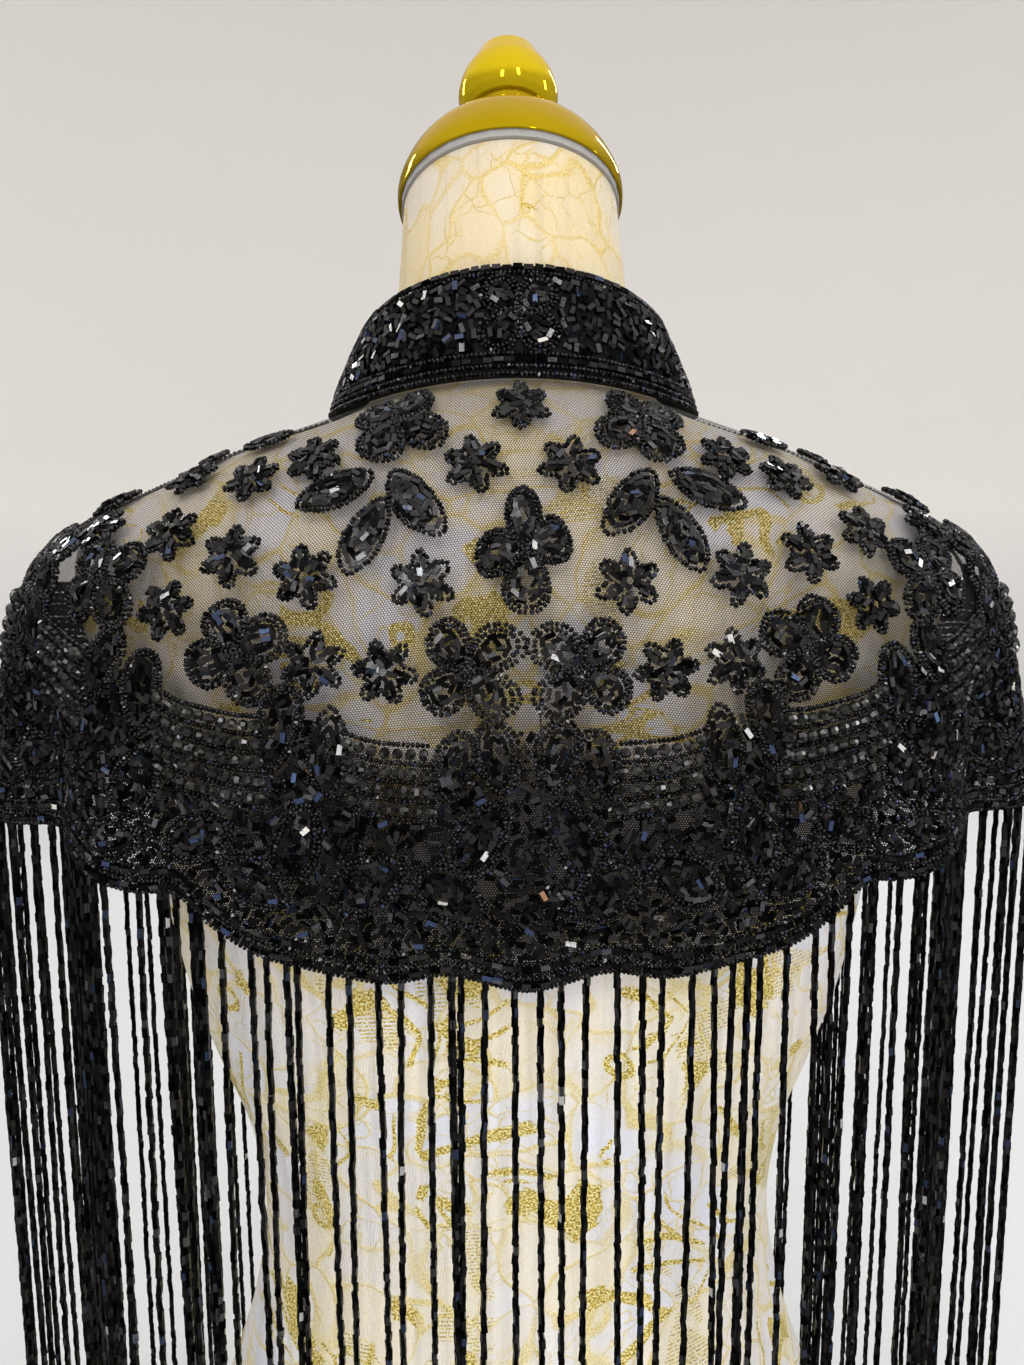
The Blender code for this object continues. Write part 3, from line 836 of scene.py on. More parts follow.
@dataclass
class Web:
    """A node tree, with short ways to add its nodes and join them.

    Attributes:
        tree: The tree.
    """

    tree: bpy.types.NodeTree

    def feed(self, socket: Socket, value: object) -> None:
        """Links a socket to a value that is a socket too, or sets it."""
        if isinstance(value, Socket):
            self.tree.links.new(value, socket)
        elif socket.type == "RGBA":
            socket.default_value = (*value, 1.0)
        else:
            socket.default_value = value

    def node(self, kind: str, inputs: dict[str | int, object] | None = None, **values: object) -> bpy.types.Node:
        """A new node with its properties set and its inputs fed."""
        made = self.tree.nodes.new(kind)
        for name, value in values.items():
            setattr(made, name, value)
        for name, value in (inputs or {}).items():
            self.feed(made.inputs[name], value)
        return made

    def math(self, operation: str, *inputs: object) -> Socket:
        """A Math node on sockets or numbers, by its output."""
        return self.node("ShaderNodeMath", dict(enumerate(inputs)), operation=operation).outputs[0]

    def times(self, first: object, second: object) -> Socket:
        """The product of two sockets or numbers."""
        return self.math("MULTIPLY", first, second)

    def most(self, first: object, *others: object) -> Socket:
        """The largest of some sockets."""
        for other in others:
            first = self.math("MAXIMUM", first, other)
        return first

    def vector(self, operation: str, *inputs: object) -> Socket:
        """A Vector Math node on sockets or vectors, by its output."""
        made = self.node("ShaderNodeVectorMath", dict(enumerate(inputs)), operation=operation)
        return made.outputs["Value" if operation == "DOT_PRODUCT" else "Vector"]

    def parts(self, value: Socket, kind: str = "XYZ") -> bpy.types.NodeOutputs:
        """The three parts of a vector or, by kind, of a colour."""
        return self.node(f"ShaderNodeSeparate{kind}", {0: value}).outputs

    def place(self, kind: str) -> Socket:
        """A texture coordinate."""
        return self.node("ShaderNodeTexCoord").outputs[kind]

    def read(self, name: str) -> Socket:
        """A number that each point of the mesh carries."""
        return self.node("ShaderNodeAttribute", attribute_name=name).outputs["Fac"]

    def noise(self, place: Socket, scale: float, detail: float = 2.0, output: str = "Fac") -> Socket:
        """A noise over places."""
        inputs = {"Vector": place, "Scale": scale, "Detail": detail}
        return self.node("ShaderNodeTexNoise", inputs).outputs[output]

    def cells(self, place: Socket, scale: object, feature: str = "DISTANCE_TO_EDGE") -> bpy.types.NodeOutputs:
        """A cell pattern over places."""
        return self.node("ShaderNodeTexVoronoi", {"Vector": place, "Scale": scale}, feature=feature).outputs

    def shared(self, name: str, inputs: dict[str, object]) -> bpy.types.NodeOutputs:
        """A node group in use."""
        return self.node("ShaderNodeGroup", inputs, node_tree=bpy.data.node_groups[name]).outputs

    def bump(self, height: Socket, distance: float, strength: float = 1.0) -> Socket:
        """A normal that is tilted by a height."""
        inputs = {"Height": height, "Distance": distance, "Strength": strength}
        return self.node("ShaderNodeBump", inputs).outputs[0]

    def mix(self, share: Socket, first: object, second: object) -> Socket:
        """A blend of two colours, each a socket or a colour."""
        return self.node("ShaderNodeMix", {0: share, 6: first, 7: second}, data_type="RGBA").outputs[2]

    def ramp(self, value: Socket, stops: list[tuple[float, object]], constant: bool = False) -> Socket:
        """A colour ramp over a value.

        Args:
            value: The socket that is read.
            stops: Places with a grey or a colour.
            constant: Whether the colours don't blend.

        Returns:
            The colour's socket.
        """
        made = self.node("ShaderNodeValToRGB", {0: value})
        band = made.color_ramp
        band.interpolation = "CONSTANT" if constant else "LINEAR"
        while len(band.elements) < len(stops):
            band.elements.new(1.0)
        for element, (place, colour) in zip(band.elements, stops):
            element.position = place
            element.color = (*colour, 1.0) if isinstance(colour, tuple) else (colour, colour, colour, 1.0)
        return made.outputs[0]

    def above(self, value: Socket, low: float, high: float) -> Socket:
        """1 where a value is above a threshold that is soft from low to high."""
        return self.ramp(value, [(low, 0.0), (high, 1.0)])

    def below(self, value: Socket, low: float, high: float) -> Socket:
        """1 where a value is below a threshold that is soft from low to high."""
        return self.ramp(value, [(0.0, 1.0), (low, 1.0), (high, 0.0)])

    def between(self, value: Socket, low: float, high: float, soft: float) -> Socket:
        """1 where a value lies between two limits."""
        return self.ramp(value, [(0.0, 0.0), (low - soft, 0.0), (low, 1.0), (high, 1.0), (high + soft, 0.0)])


def group(name: str, inputs: dict[str, float], outputs: list[str]) -> bpy.types.NodeTree:
    """A new shader node group with a vector input, value inputs and value or colour outputs."""
    tree = bpy.data.node_groups.new(name, "ShaderNodeTree")
    tree.interface.new_socket("Vector", in_out="INPUT", socket_type="NodeSocketVector")
    for label, value in inputs.items():
        tree.interface.new_socket(label, in_out="INPUT", socket_type="NodeSocketFloat").default_value = value
    for label in outputs:
        kind = "NodeSocketColor" if label == "Color" else "NodeSocketFloat"
        tree.interface.new_socket(label, in_out="OUTPUT", socket_type=kind)
    return tree


def hex_net() -> bpy.types.NodeTree:
    """The node group of a hexagon net: Thread is 1 on a thread and 0 in a hole."""
    tree = group("hexagon_net", {"Cell": 0.0014, "Thread": 0.16}, ["Thread"])
    web = Web(tree)
    source = web.node("NodeGroupInput").outputs
    tall = math.sqrt(3.0)
    sizes = {"Vector": source["Vector"], "Scale": web.math("DIVIDE", 1.0, source["Cell"])}
    scaled = web.node("ShaderNodeVectorMath", sizes, operation="SCALE").outputs[0]
    half = (0.5, tall / 2, 0.0)
    nearest = []
    for shift in ((0.0, 0.0, 0.0), half):
        wrapped = web.vector("WRAP", web.vector("SUBTRACT", scaled, shift), (1.0, tall, 1.0), (0.0, 0.0, 0.0))
        centred = web.vector("SUBTRACT", wrapped, half)
        flat = web.vector("ABSOLUTE", web.vector("MULTIPLY", centred, (1.0, 1.0, 0.0)))
        nearest.append(web.most(web.vector("DOT_PRODUCT", flat, half), web.parts(flat)[0]))
    edge = web.math("SUBTRACT", 0.5, web.math("MINIMUM", *nearest))
    limits = {"From Min": web.times(source["Thread"], 0.6), "From Max": source["Thread"], "To Min": 1.0, "To Max": 0.0}
    inside = web.node("ShaderNodeMapRange", {"Value": edge, **limits}, interpolation_type="SMOOTHSTEP")
    web.node("NodeGroupOutput", {"Thread": inside.outputs[0]})
    return tree


def gold_lace() -> bpy.types.NodeTree:
    """The node group of the form's lace: its colour, with painted sparkle on its gold and painted shade in its pleats,
    where it is gold thread, and its height.
    """
    tree = group("gold_lace", {"Cell": 0.03, "Rich": 1.0}, ["Color", "Gold", "Height"])
    web = Web(tree)
    source = web.node("NodeGroupInput").outputs
    cloth = source["Vector"]

    def bent(scale: float, reach: float) -> Socket:
        """Places pushed about by noise."""
        push = web.vector("SUBTRACT", web.noise(cloth, scale, output="Color"), (0.5, 0.5, 0.5))
        return web.vector("ADD", cloth, web.vector("MULTIPLY", push, (reach, reach, 0.0)))

    def patchy(scale: float, low: float, high: float) -> Socket:
        """1 in soft patches of a noise."""
        return web.above(web.noise(cloth, scale), low, high)

    def ribs(scale: float, turn: float, blur: float) -> Socket:
        """Fine ribs that run one way."""
        slanted = web.node("ShaderNodeMapping", {"Vector": cloth, "Rotation": (0.0, 0.0, turn)})
        inputs = {"Vector": slanted.outputs[0], "Scale": scale, "Distortion": blur}
        return web.node("ShaderNodeTexWave", inputs).outputs["Fac"]

    scale = web.math("DIVIDE", 1.0, source["Cell"])
    leaf = bent(16.0, 0.08)
    leaf_edge = web.cells(leaf, scale)["Distance"]
    vein_edge = web.cells(bent(48.0, 0.03), web.times(scale, 1.9))["Distance"]
    broken = web.math("MULTIPLY_ADD", patchy(34.0, 0.44, 0.56), 0.4, 0.6)
    cord = web.times(web.below(leaf_edge, 0.018, 0.04), broken)
    veins = web.times(web.below(vein_edge, 0.012, 0.032), patchy(21.0, 0.47, 0.55))
    lines = web.most(cord, web.times(veins, 0.8))

    sweep = bent(11.0, 0.11)
    band_edge = web.cells(sweep, 13.0)["Distance"]
    pair = web.most(web.below(band_edge, 0.01, 0.015), web.between(band_edge, 0.125, 0.16, 0.005))
    bands = web.times(pair, patchy(13.0, 0.55, 0.562))
    spots = web.cells(bent(40.0, 0.012), 23.0, "F1")
    chosen = web.parts(spots["Color"], "Color")
    near = web.math("ADD", spots["Distance"], web.times(web.noise(cloth, 120.0), 0.06))
    rings = web.times(web.between(near, 0.13, 0.19, 0.008), web.math("GREATER_THAN", chosen[0], 0.72))
    dots = web.times(web.below(near, 0.17, 0.18), web.math("GREATER_THAN", chosen[1], 0.84))
    blots = web.above(web.noise(sweep, 24.0, 5.0), 0.615, 0.622)
    ribbed = web.above(web.noise(leaf, 19.0, 3.0), 0.61, 0.616)
    ribbed = web.times(ribbed, web.above(ribs(175.0, 1.45, 0.6), 0.35, 0.6))
    patch = web.most(bands, rings, dots, blots, web.times(ribbed, 0.85))
    patch = web.times(patch, web.most(source["Rich"], patchy(15.0, 0.66, 0.68)))

    # Painted sparkle: flecks of lighter and darker gold in place of the glitter of the gold leaf and cords.
    painted_sparkle = web.ramp(web.noise(cloth, 950.0, 1.0), [(0.36, 0.0), (0.47, 0.4), (0.62, 1.0)])
    painted_sparkle_golds = [(0.0, (0.34, 0.22, 0.015)), (0.4, (0.66, 0.49, 0.08)), (0.75, (0.9, 0.76, 0.26)),
                  (1.0, (1.0, 0.97, 0.6))]
    warm = web.ramp(web.noise(cloth, 9.0, 3.0), [(0.44, (0.76, 0.77, 0.86)), (0.62, (0.85, 0.81, 0.74))])
    tone = web.parts(web.cells(leaf, scale, "F1")["Color"], "Color")
    cream = web.mix(web.above(tone[1], 0.72, 0.73), warm, (0.85, 0.79, 0.65))
    halo = web.times(web.below(leaf_edge, 0.02, 0.24), patchy(28.0, 0.42, 0.66))
    cream = web.mix(web.times(halo, 0.6), cream, (0.88, 0.76, 0.42))
    fill = web.times(web.math("GREATER_THAN", tone[0], 0.5), ribs(250.0, 0.15, 1.0))
    # The gold fill ribs, shown only in noise spots as painted glints of their thread.
    glint = web.times(fill, web.above(web.noise(cloth, 700.0, 1.0), 0.34, 0.56))
    ground = web.mix(web.times(glint, 0.55), cream, (0.86, 0.72, 0.36))
    tulle = web.below(web.cells(cloth, 420.0)["Distance"], 0.02, 0.18)
    ground = web.mix(web.times(tulle, 0.3), ground, (0.93, 0.92, 0.9))
    stretched = web.node("ShaderNodeMapping", {"Vector": cloth, "Scale": (1.0, 0.035, 1.0)}).outputs[0]
    pleat_and_painted_crease_shade = web.noise(stretched, 150.0)
    # Painted shade in the creases of the pleats; the same noise also bumps the cloth.
    ground = web.mix(web.ramp(pleat_and_painted_crease_shade, [(0.52, 0.0), (0.7, 0.28)]), ground, (0.58, 0.53, 0.48))
    # Painted lustre on the gold cords.
    painted_cord_lustre = web.mix(painted_sparkle, (0.68, 0.52, 0.15), (0.92, 0.8, 0.38))
    ground = web.mix(web.times(lines, 0.85), ground, painted_cord_lustre)
    height = web.math("ADD", web.times(lines, 0.8), web.times(tulle, 0.18))
    height = web.math("ADD", height, web.times(pleat_and_painted_crease_shade, 2.2))
    web.node("NodeGroupOutput", {
        "Color": web.mix(patch, ground, web.ramp(painted_sparkle, painted_sparkle_golds)),
        "Gold": web.most(patch, web.times(lines, 0.3)),
        "Height": web.math("ADD", height, web.times(fill, 0.35)),
    })
    return tree


@dataclass(frozen=True)
class Finish:
    """A material, with the record's slot that it belongs to.

    Attributes:
        name: The material's name.
        record_slot: The record's slot.
    """

    name: str
    record_slot: str

    def surface(self, web: Web) -> dict[str, object]:
        """What the Principled shader's inputs read."""
        raise NotImplementedError

    def make(self) -> bpy.types.Material:
        """Builds the material."""
        material = bpy.data.materials.new(self.name)
        material.use_nodes = True
        web = Web(material.node_tree)
        shader = material.node_tree.nodes["Principled BSDF"]
        for name, value in self.surface(web).items():
            web.feed(shader.inputs[name], value)
        return material


@dataclass(frozen=True)
class JetBeads(Finish):
    """Black glass whose cut faces are painted in different greys as painted reflection: most near black, some grey, a
    few painted as white, blue or copper glints.

    A bead's tint is under 0 if it is round, 0 to 0.5 if it is a seed or a rod, and over that if it is a bugle.

    Attributes:
        glint: The share of the faces painted as bright glints.
        lift: How light the painted greys of the faces are, and how strongly the faces reflect.
    """

    glint: float = 0.006
    lift: float = 1.0

    def surface(self, web: Web) -> dict[str, object]:
        """What the glass reads: a number for each flat face, or for each seed, that picks its painted grey or painted
        glint.
        """
        tint = web.read("tint")
        by_face = web.math("GREATER_THAN", web.math("ABSOLUTE", web.math("SUBTRACT", tint, 0.25)), 0.25)
        facing = web.vector("SNAP", web.node("ShaderNodeNewGeometry").outputs["True Normal"], (0.02, 0.02, 0.02))
        draw = {"Vector": web.vector("MULTIPLY", facing, by_face), "W": web.times(tint, 37.0)}
        face = web.node("ShaderNodeTexWhiteNoise", draw, noise_dimensions="4D").outputs["Value"]
        # Painted reflection: each cut face gets a grey, a few a faint blue, in place of the light that the face would
        # mirror.
        painted_face_greys = [
            (0.0, (0.0006, 0.0006, 0.0007)),
            (0.42, (0.004, 0.0036, 0.0036)),
            (0.72, (0.015, 0.014, 0.0138)),
            (0.93, (0.042, 0.042, 0.048)),
            (0.968, (0.026, 0.04, 0.085)),
            (0.988, (0.075, 0.075, 0.08)),
        ]
        painted_face_greys = [(at, tuple(value * self.lift for value in colour)) for at, colour in painted_face_greys]
        # Painted reflection on the faces of the round beads.
        painted_round_face_greys = [(0.0, (0.004, 0.004, 0.004)), (0.35, (0.014, 0.014, 0.013)), (0.75, (0.034, 0.034, 0.032)),
                       (0.94, (0.11, 0.11, 0.11))]
        # The colours of the painted glints: white, blue and copper.
        painted_glint_colours = [(0.0, (0.3, 0.3, 0.3)), (0.5, (0.62, 0.6, 0.56)), (0.78, (0.07, 0.11, 0.22)),
                  (0.86, (0.3, 0.16, 0.09)), (0.89, (0.5, 0.5, 0.5))]
        shine = [(0.0, 0.06), (0.3, 0.4 * self.lift), (0.6, 0.62 * self.lift)]
        is_round = web.math("LESS_THAN", tint, 0.0)
        glass = web.mix(is_round, web.ramp(face, painted_face_greys, True), web.ramp(face, painted_round_face_greys, True))
        # The faces that are painted as bright glints.
        painted_glint_face = web.math("GREATER_THAN", face, 1.0 - self.glint)
        smear = web.ramp(web.noise(web.place("Object"), 900.0), [(0.3, 0.06), (0.7, 0.18)])
        return {
            "Base Color": web.mix(painted_glint_face, glass, web.ramp(tint, painted_glint_colours, True)),
            "Roughness": web.math("ADD", smear, web.times(web.math("LESS_THAN", tint, 0.5), 0.09)),
            "Specular IOR Level": web.ramp(face, shine, True),
            "IOR": 1.42,
        }


@dataclass(frozen=True)
class Tulle(Finish):
    """A black hexagon net with real holes, its thread drawn thicker under the beaded border as painted shade between
    the beads.

    Attributes:
        cell: The width of a hole and its thread, in metres.
        thread: The thread's share of a cell.
        sewn: The thread's share under the border, thickened as painted shade.
    """

    cell: float = 0.00104
    thread: float = 0.145
    sewn: float = 0.32

    def surface(self, web: Web) -> dict[str, object]:
        """What the net reads."""
        # Under the border the thread thickens: painted shade between the beads.
        thread = web.math("MULTIPLY_ADD", web.read("sewn"), self.sewn - self.thread, self.thread)
        inputs = {"Cell": self.cell, "Thread": thread, "Vector": web.place("UV")}
        return {
            "Alpha": web.shared("hexagon_net", inputs)["Thread"],
            "Base Color": (0.011, 0.0105, 0.011),
            "Roughness": 0.7,
            "Specular IOR Level": 0.25,
        }


@dataclass(frozen=True)
class BlackCloth(Finish):
    """The close black cloth under the collar's beads, and the seams' thread."""

    weave: float = 2600.0

    def surface(self, web: Web) -> dict[str, object]:
        """What the cloth reads."""
        threads = web.cells(web.place("Object"), self.weave, "F1")["Distance"]
        return {
            "Base Color": web.mix(threads, (0.003, 0.003, 0.0035), (0.012, 0.012, 0.012)),
            "Roughness": 0.9,
            "Specular IOR Level": 0.15,
            "Normal": web.bump(threads, 0.0002),
        }


@dataclass(frozen=True)
class GoldLace(Finish):
    """Ivory lace with gold cord and gold leaf patches, stretched over the form."""

    cell: float = 0.03

    def surface(self, web: Web) -> dict[str, object]:
        """What the lace reads: its patches end below the neck; towards the neck it is darker and yellower, partly
        yellowed lace and partly painted shade, and from 0.48 to 0.6 m, under the net, a little darker as painted shade
        of the net.
        """
        height = web.parts(web.place("Object"))[2]
        rich = web.ramp(height, [(0.6, 1.0), (0.65, 0.0)])
        lace = web.shared("gold_lace", {"Cell": self.cell, "Vector": web.place("UV"), "Rich": rich})
        # Darker and yellower at the neck: partly yellowing, partly painted shade; slightly darker under the net:
        # painted shade of the net.
        yellowing_and_painted_shade = web.ramp(height, [(0.36, (1.0, 1.0, 1.0)), (0.48, (1.0, 0.96, 0.93)), (0.6, (1.0, 0.96, 0.93)),
                                 (0.67, (0.69, 0.62, 0.48))])
        return {
            "Base Color": web.vector("MULTIPLY", lace["Color"], yellowing_and_painted_shade),
            "Metallic": web.times(lace["Gold"], 0.12),
            "Roughness": web.ramp(lace["Gold"], [(0.0, 0.75), (1.0, 0.42)]),
            "Normal": web.bump(lace["Height"], 0.0006, 0.6),
        }


@dataclass(frozen=True)
class MirrorGold(Finish):
    """Polished yellow plate with faint smears."""

    colour: tuple[float, float, float] = (0.66, 0.485, 0.009)

    def surface(self, web: Web) -> dict[str, object]:
        """What the plate reads."""
        smear = web.noise(web.place("Object"), 45.0, 4.0)
        return {
            "Base Color": web.mix(smear, self.colour, tuple(value * 0.86 for value in self.colour)),
            "Roughness": web.ramp(smear, [(0.35, 0.03), (0.75, 0.11)]),
            "Metallic": 0.55,
            "Specular Tint": (0.85, 0.62, 0.08),
        }


@dataclass(frozen=True)
class GreyBoard(Finish):
    """The card on top of the neck."""

    colour: tuple[float, float, float] = (0.36, 0.35, 0.34)

    def surface(self, web: Web) -> dict[str, object]:
        """What the card reads."""
        fibres = web.noise(web.place("Object"), 400.0, 5.0)
        return {
            "Base Color": web.mix(fibres, tuple(value * 0.7 for value in self.colour), self.colour),
            "Roughness": web.ramp(fibres, [(0.3, 0.6), (0.7, 0.9)]),
        }


@dataclass(frozen=True)
class PaleFloor(Finish):
    """The pale matte stage, painted a little darker towards the floor as painted shade.

    Attributes:
        low: The colour of the floor, darker as painted shade.
        high: The colour of the wall.
    """

    low: tuple[float, float, float] = (0.56, 0.57, 0.58)
    high: tuple[float, float, float] = (0.87, 0.845, 0.82)

    def surface(self, web: Web) -> dict[str, object]:
        """What the stage's paint reads."""
        # Darker towards the floor: painted shade.
        height = web.ramp(web.times(web.parts(web.place("Object"))[2], 0.5), [(0.0, 0.0), (0.35, 1.0)])
        return {"Base Color": web.mix(height, self.low, self.high), "Roughness": 0.95}


class Material(Enum):
    """The finishes of the object and the stage."""

    BEADS = JetBeads("jet_beads", "beads")
    # The strands' copy has fainter painted face greys and fewer painted glints.
    STRANDS = JetBeads("jet_strands", "strands", glint=0.002, lift=0.55)
    NET = Tulle("black_tulle", "net")
    CLOTH = BlackCloth("black_cloth", "beads")
    LACE = GoldLace("gold_lace_cloth", "form_cloth")
    # The cap and the knob are one gold plate; the cap's copy is painted darker, as painted shade.
    GOLD = MirrorGold("gold_plate", "gold", colour=(0.43, 0.295, 0.003))
    KNOB = MirrorGold("gold_knob_plate", "gold")
    BOARD = GreyBoard("grey_board", "board")
    FLOOR = PaleFloor("pale_floor", "")


@dataclass
class Wardrobe:
    """The finishes, each built once."""

    made: dict[Material, bpy.types.Material] = field(default_factory=dict)

    def __post_init__(self) -> None:
        """Builds the shared groups and every finish."""
        hex_net()
        gold_lace()
        for choice in Material:
            self.made[choice] = choice.value.make()

    def dress(self, piece: bpy.types.Object, choice: Material) -> None:
        """Gives a piece its finish and reports it."""
        piece.data.materials.clear()
        piece.data.materials.append(self.made[choice])
        log.info("%s is dressed in %s", piece.name, choice.value.name)

    def settle(self, piece: bpy.types.Object, choice: Material, solid: str = "") -> bpy.types.Object:
        """Dresses a new piece and sets it on the body, in place of a solid if one is named."""
        self.dress(piece, choice)
        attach(piece, "root")
        if solid:
            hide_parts(solid)
        return piece


def publish(name: str, mesh: bpy.types.Mesh, smooth_faces: bool = True) -> bpy.types.Object:
    """A new object in the scene from a mesh."""
    made = bpy.data.objects.new(name, mesh)
    bpy.context.scene.collection.objects.link(made)
    if smooth_faces:
        mesh.shade_smooth()
    return made


def loft(name: str, size: tuple[int, int], place: Callable[[np.ndarray, np.ndarray], np.ndarray],
         flat: Callable[[np.ndarray, np.ndarray], np.ndarray], closed: bool = False) -> bpy.types.Object:
    """A sheet bent from a flat grid, with a UV map in metres.

    Args:
        name: The object's name.
        size: How many cells there are round and down.
        place: Gives the points for shares round and down.
        flat: Gives the UV places for the same shares.
        closed: Whether the sheet goes all round and its ends are capped.

    Returns:
        The new object.
    """
    shape = bmesh.new()
    bmesh.ops.create_grid(shape, x_segments=size[0], y_segments=size[1], size=0.5)
    shares = np.array([(corner.co.x + 0.5, 0.5 - corner.co.y) for corner in shape.verts])
    points = place(shares[:, 0], shares[:, 1])
    maps = flat(shares[:, 0], shares[:, 1])
    shape.verts.ensure_lookup_table()
    layer = shape.loops.layers.uv.new("cloth")
    for face in shape.faces:
        for corner in face.loops:
            corner[layer].uv = maps[corner.vert.index]
    for corner, point in zip(shape.verts, points):
        corner.co = point
    if closed:
        bmesh.ops.remove_doubles(shape, verts=shape.verts, dist=1e-5)
        bmesh.ops.holes_fill(shape, edges=[edge for edge in shape.edges if edge.is_boundary])
    shape.normal_update()
    middle = sum((corner.co for corner in shape.verts), Vector()) / len(shape.verts)
    outward = sum((face.normal.dot(face.calc_center_median() - middle) for face in shape.faces))
    if closed:
        bmesh.ops.recalc_face_normals(shape, faces=shape.faces)
    elif outward < 0.0:
        bmesh.ops.reverse_faces(shape, faces=shape.faces)
    mesh = bpy.data.meshes.new(name)
    shape.to_mesh(mesh)
    shape.free()
    return publish(name, mesh)


def spun(name: str, profile: list[tuple[float, float]], lean: float, middle: Vector, steps: int) -> bpy.types.Object:
    """A turned piece about a leaning axis, from a profile that runs from top to bottom."""
    shape = bmesh.new()
    corners = [shape.verts.new((radius, 0.0, height)) for radius, height in profile]
    edges = [shape.edges.new(pair) for pair in zip(corners, corners[1:])]
    bmesh.ops.spin(shape, geom=corners + edges, cent=(0, 0, 0), axis=(0, 0, 1), angle=2 * math.pi, steps=steps,
                   use_merge=True)
    bmesh.ops.remove_doubles(shape, verts=shape.verts, dist=1e-6)
    bmesh.ops.transform(shape, matrix=Matrix.Translation(middle) @ Matrix.Rotation(-math.radians(lean), 4, "X"),
                        verts=shape.verts)
    bmesh.ops.recalc_face_normals(shape, faces=shape.faces)
    mesh = bpy.data.meshes.new(name)
    shape.to_mesh(mesh)
    shape.free()
    made = publish(name, mesh)
    mesh.set_sharp_from_angle(angle=math.radians(50.0))
    return made


def curved(points: list[tuple[float, float]], parts: int) -> list[tuple[float, float]]:
    """A profile with smooth curves through its points."""
    stations = np.array([[(x, 0.0, z)] for x, z in points])
    shares = np.linspace(0.0, 1.0, parts * (len(points) - 1) + 1)
    return [tuple(through(stations, np.array([share]))[0][[0, 2]]) for share in shares]


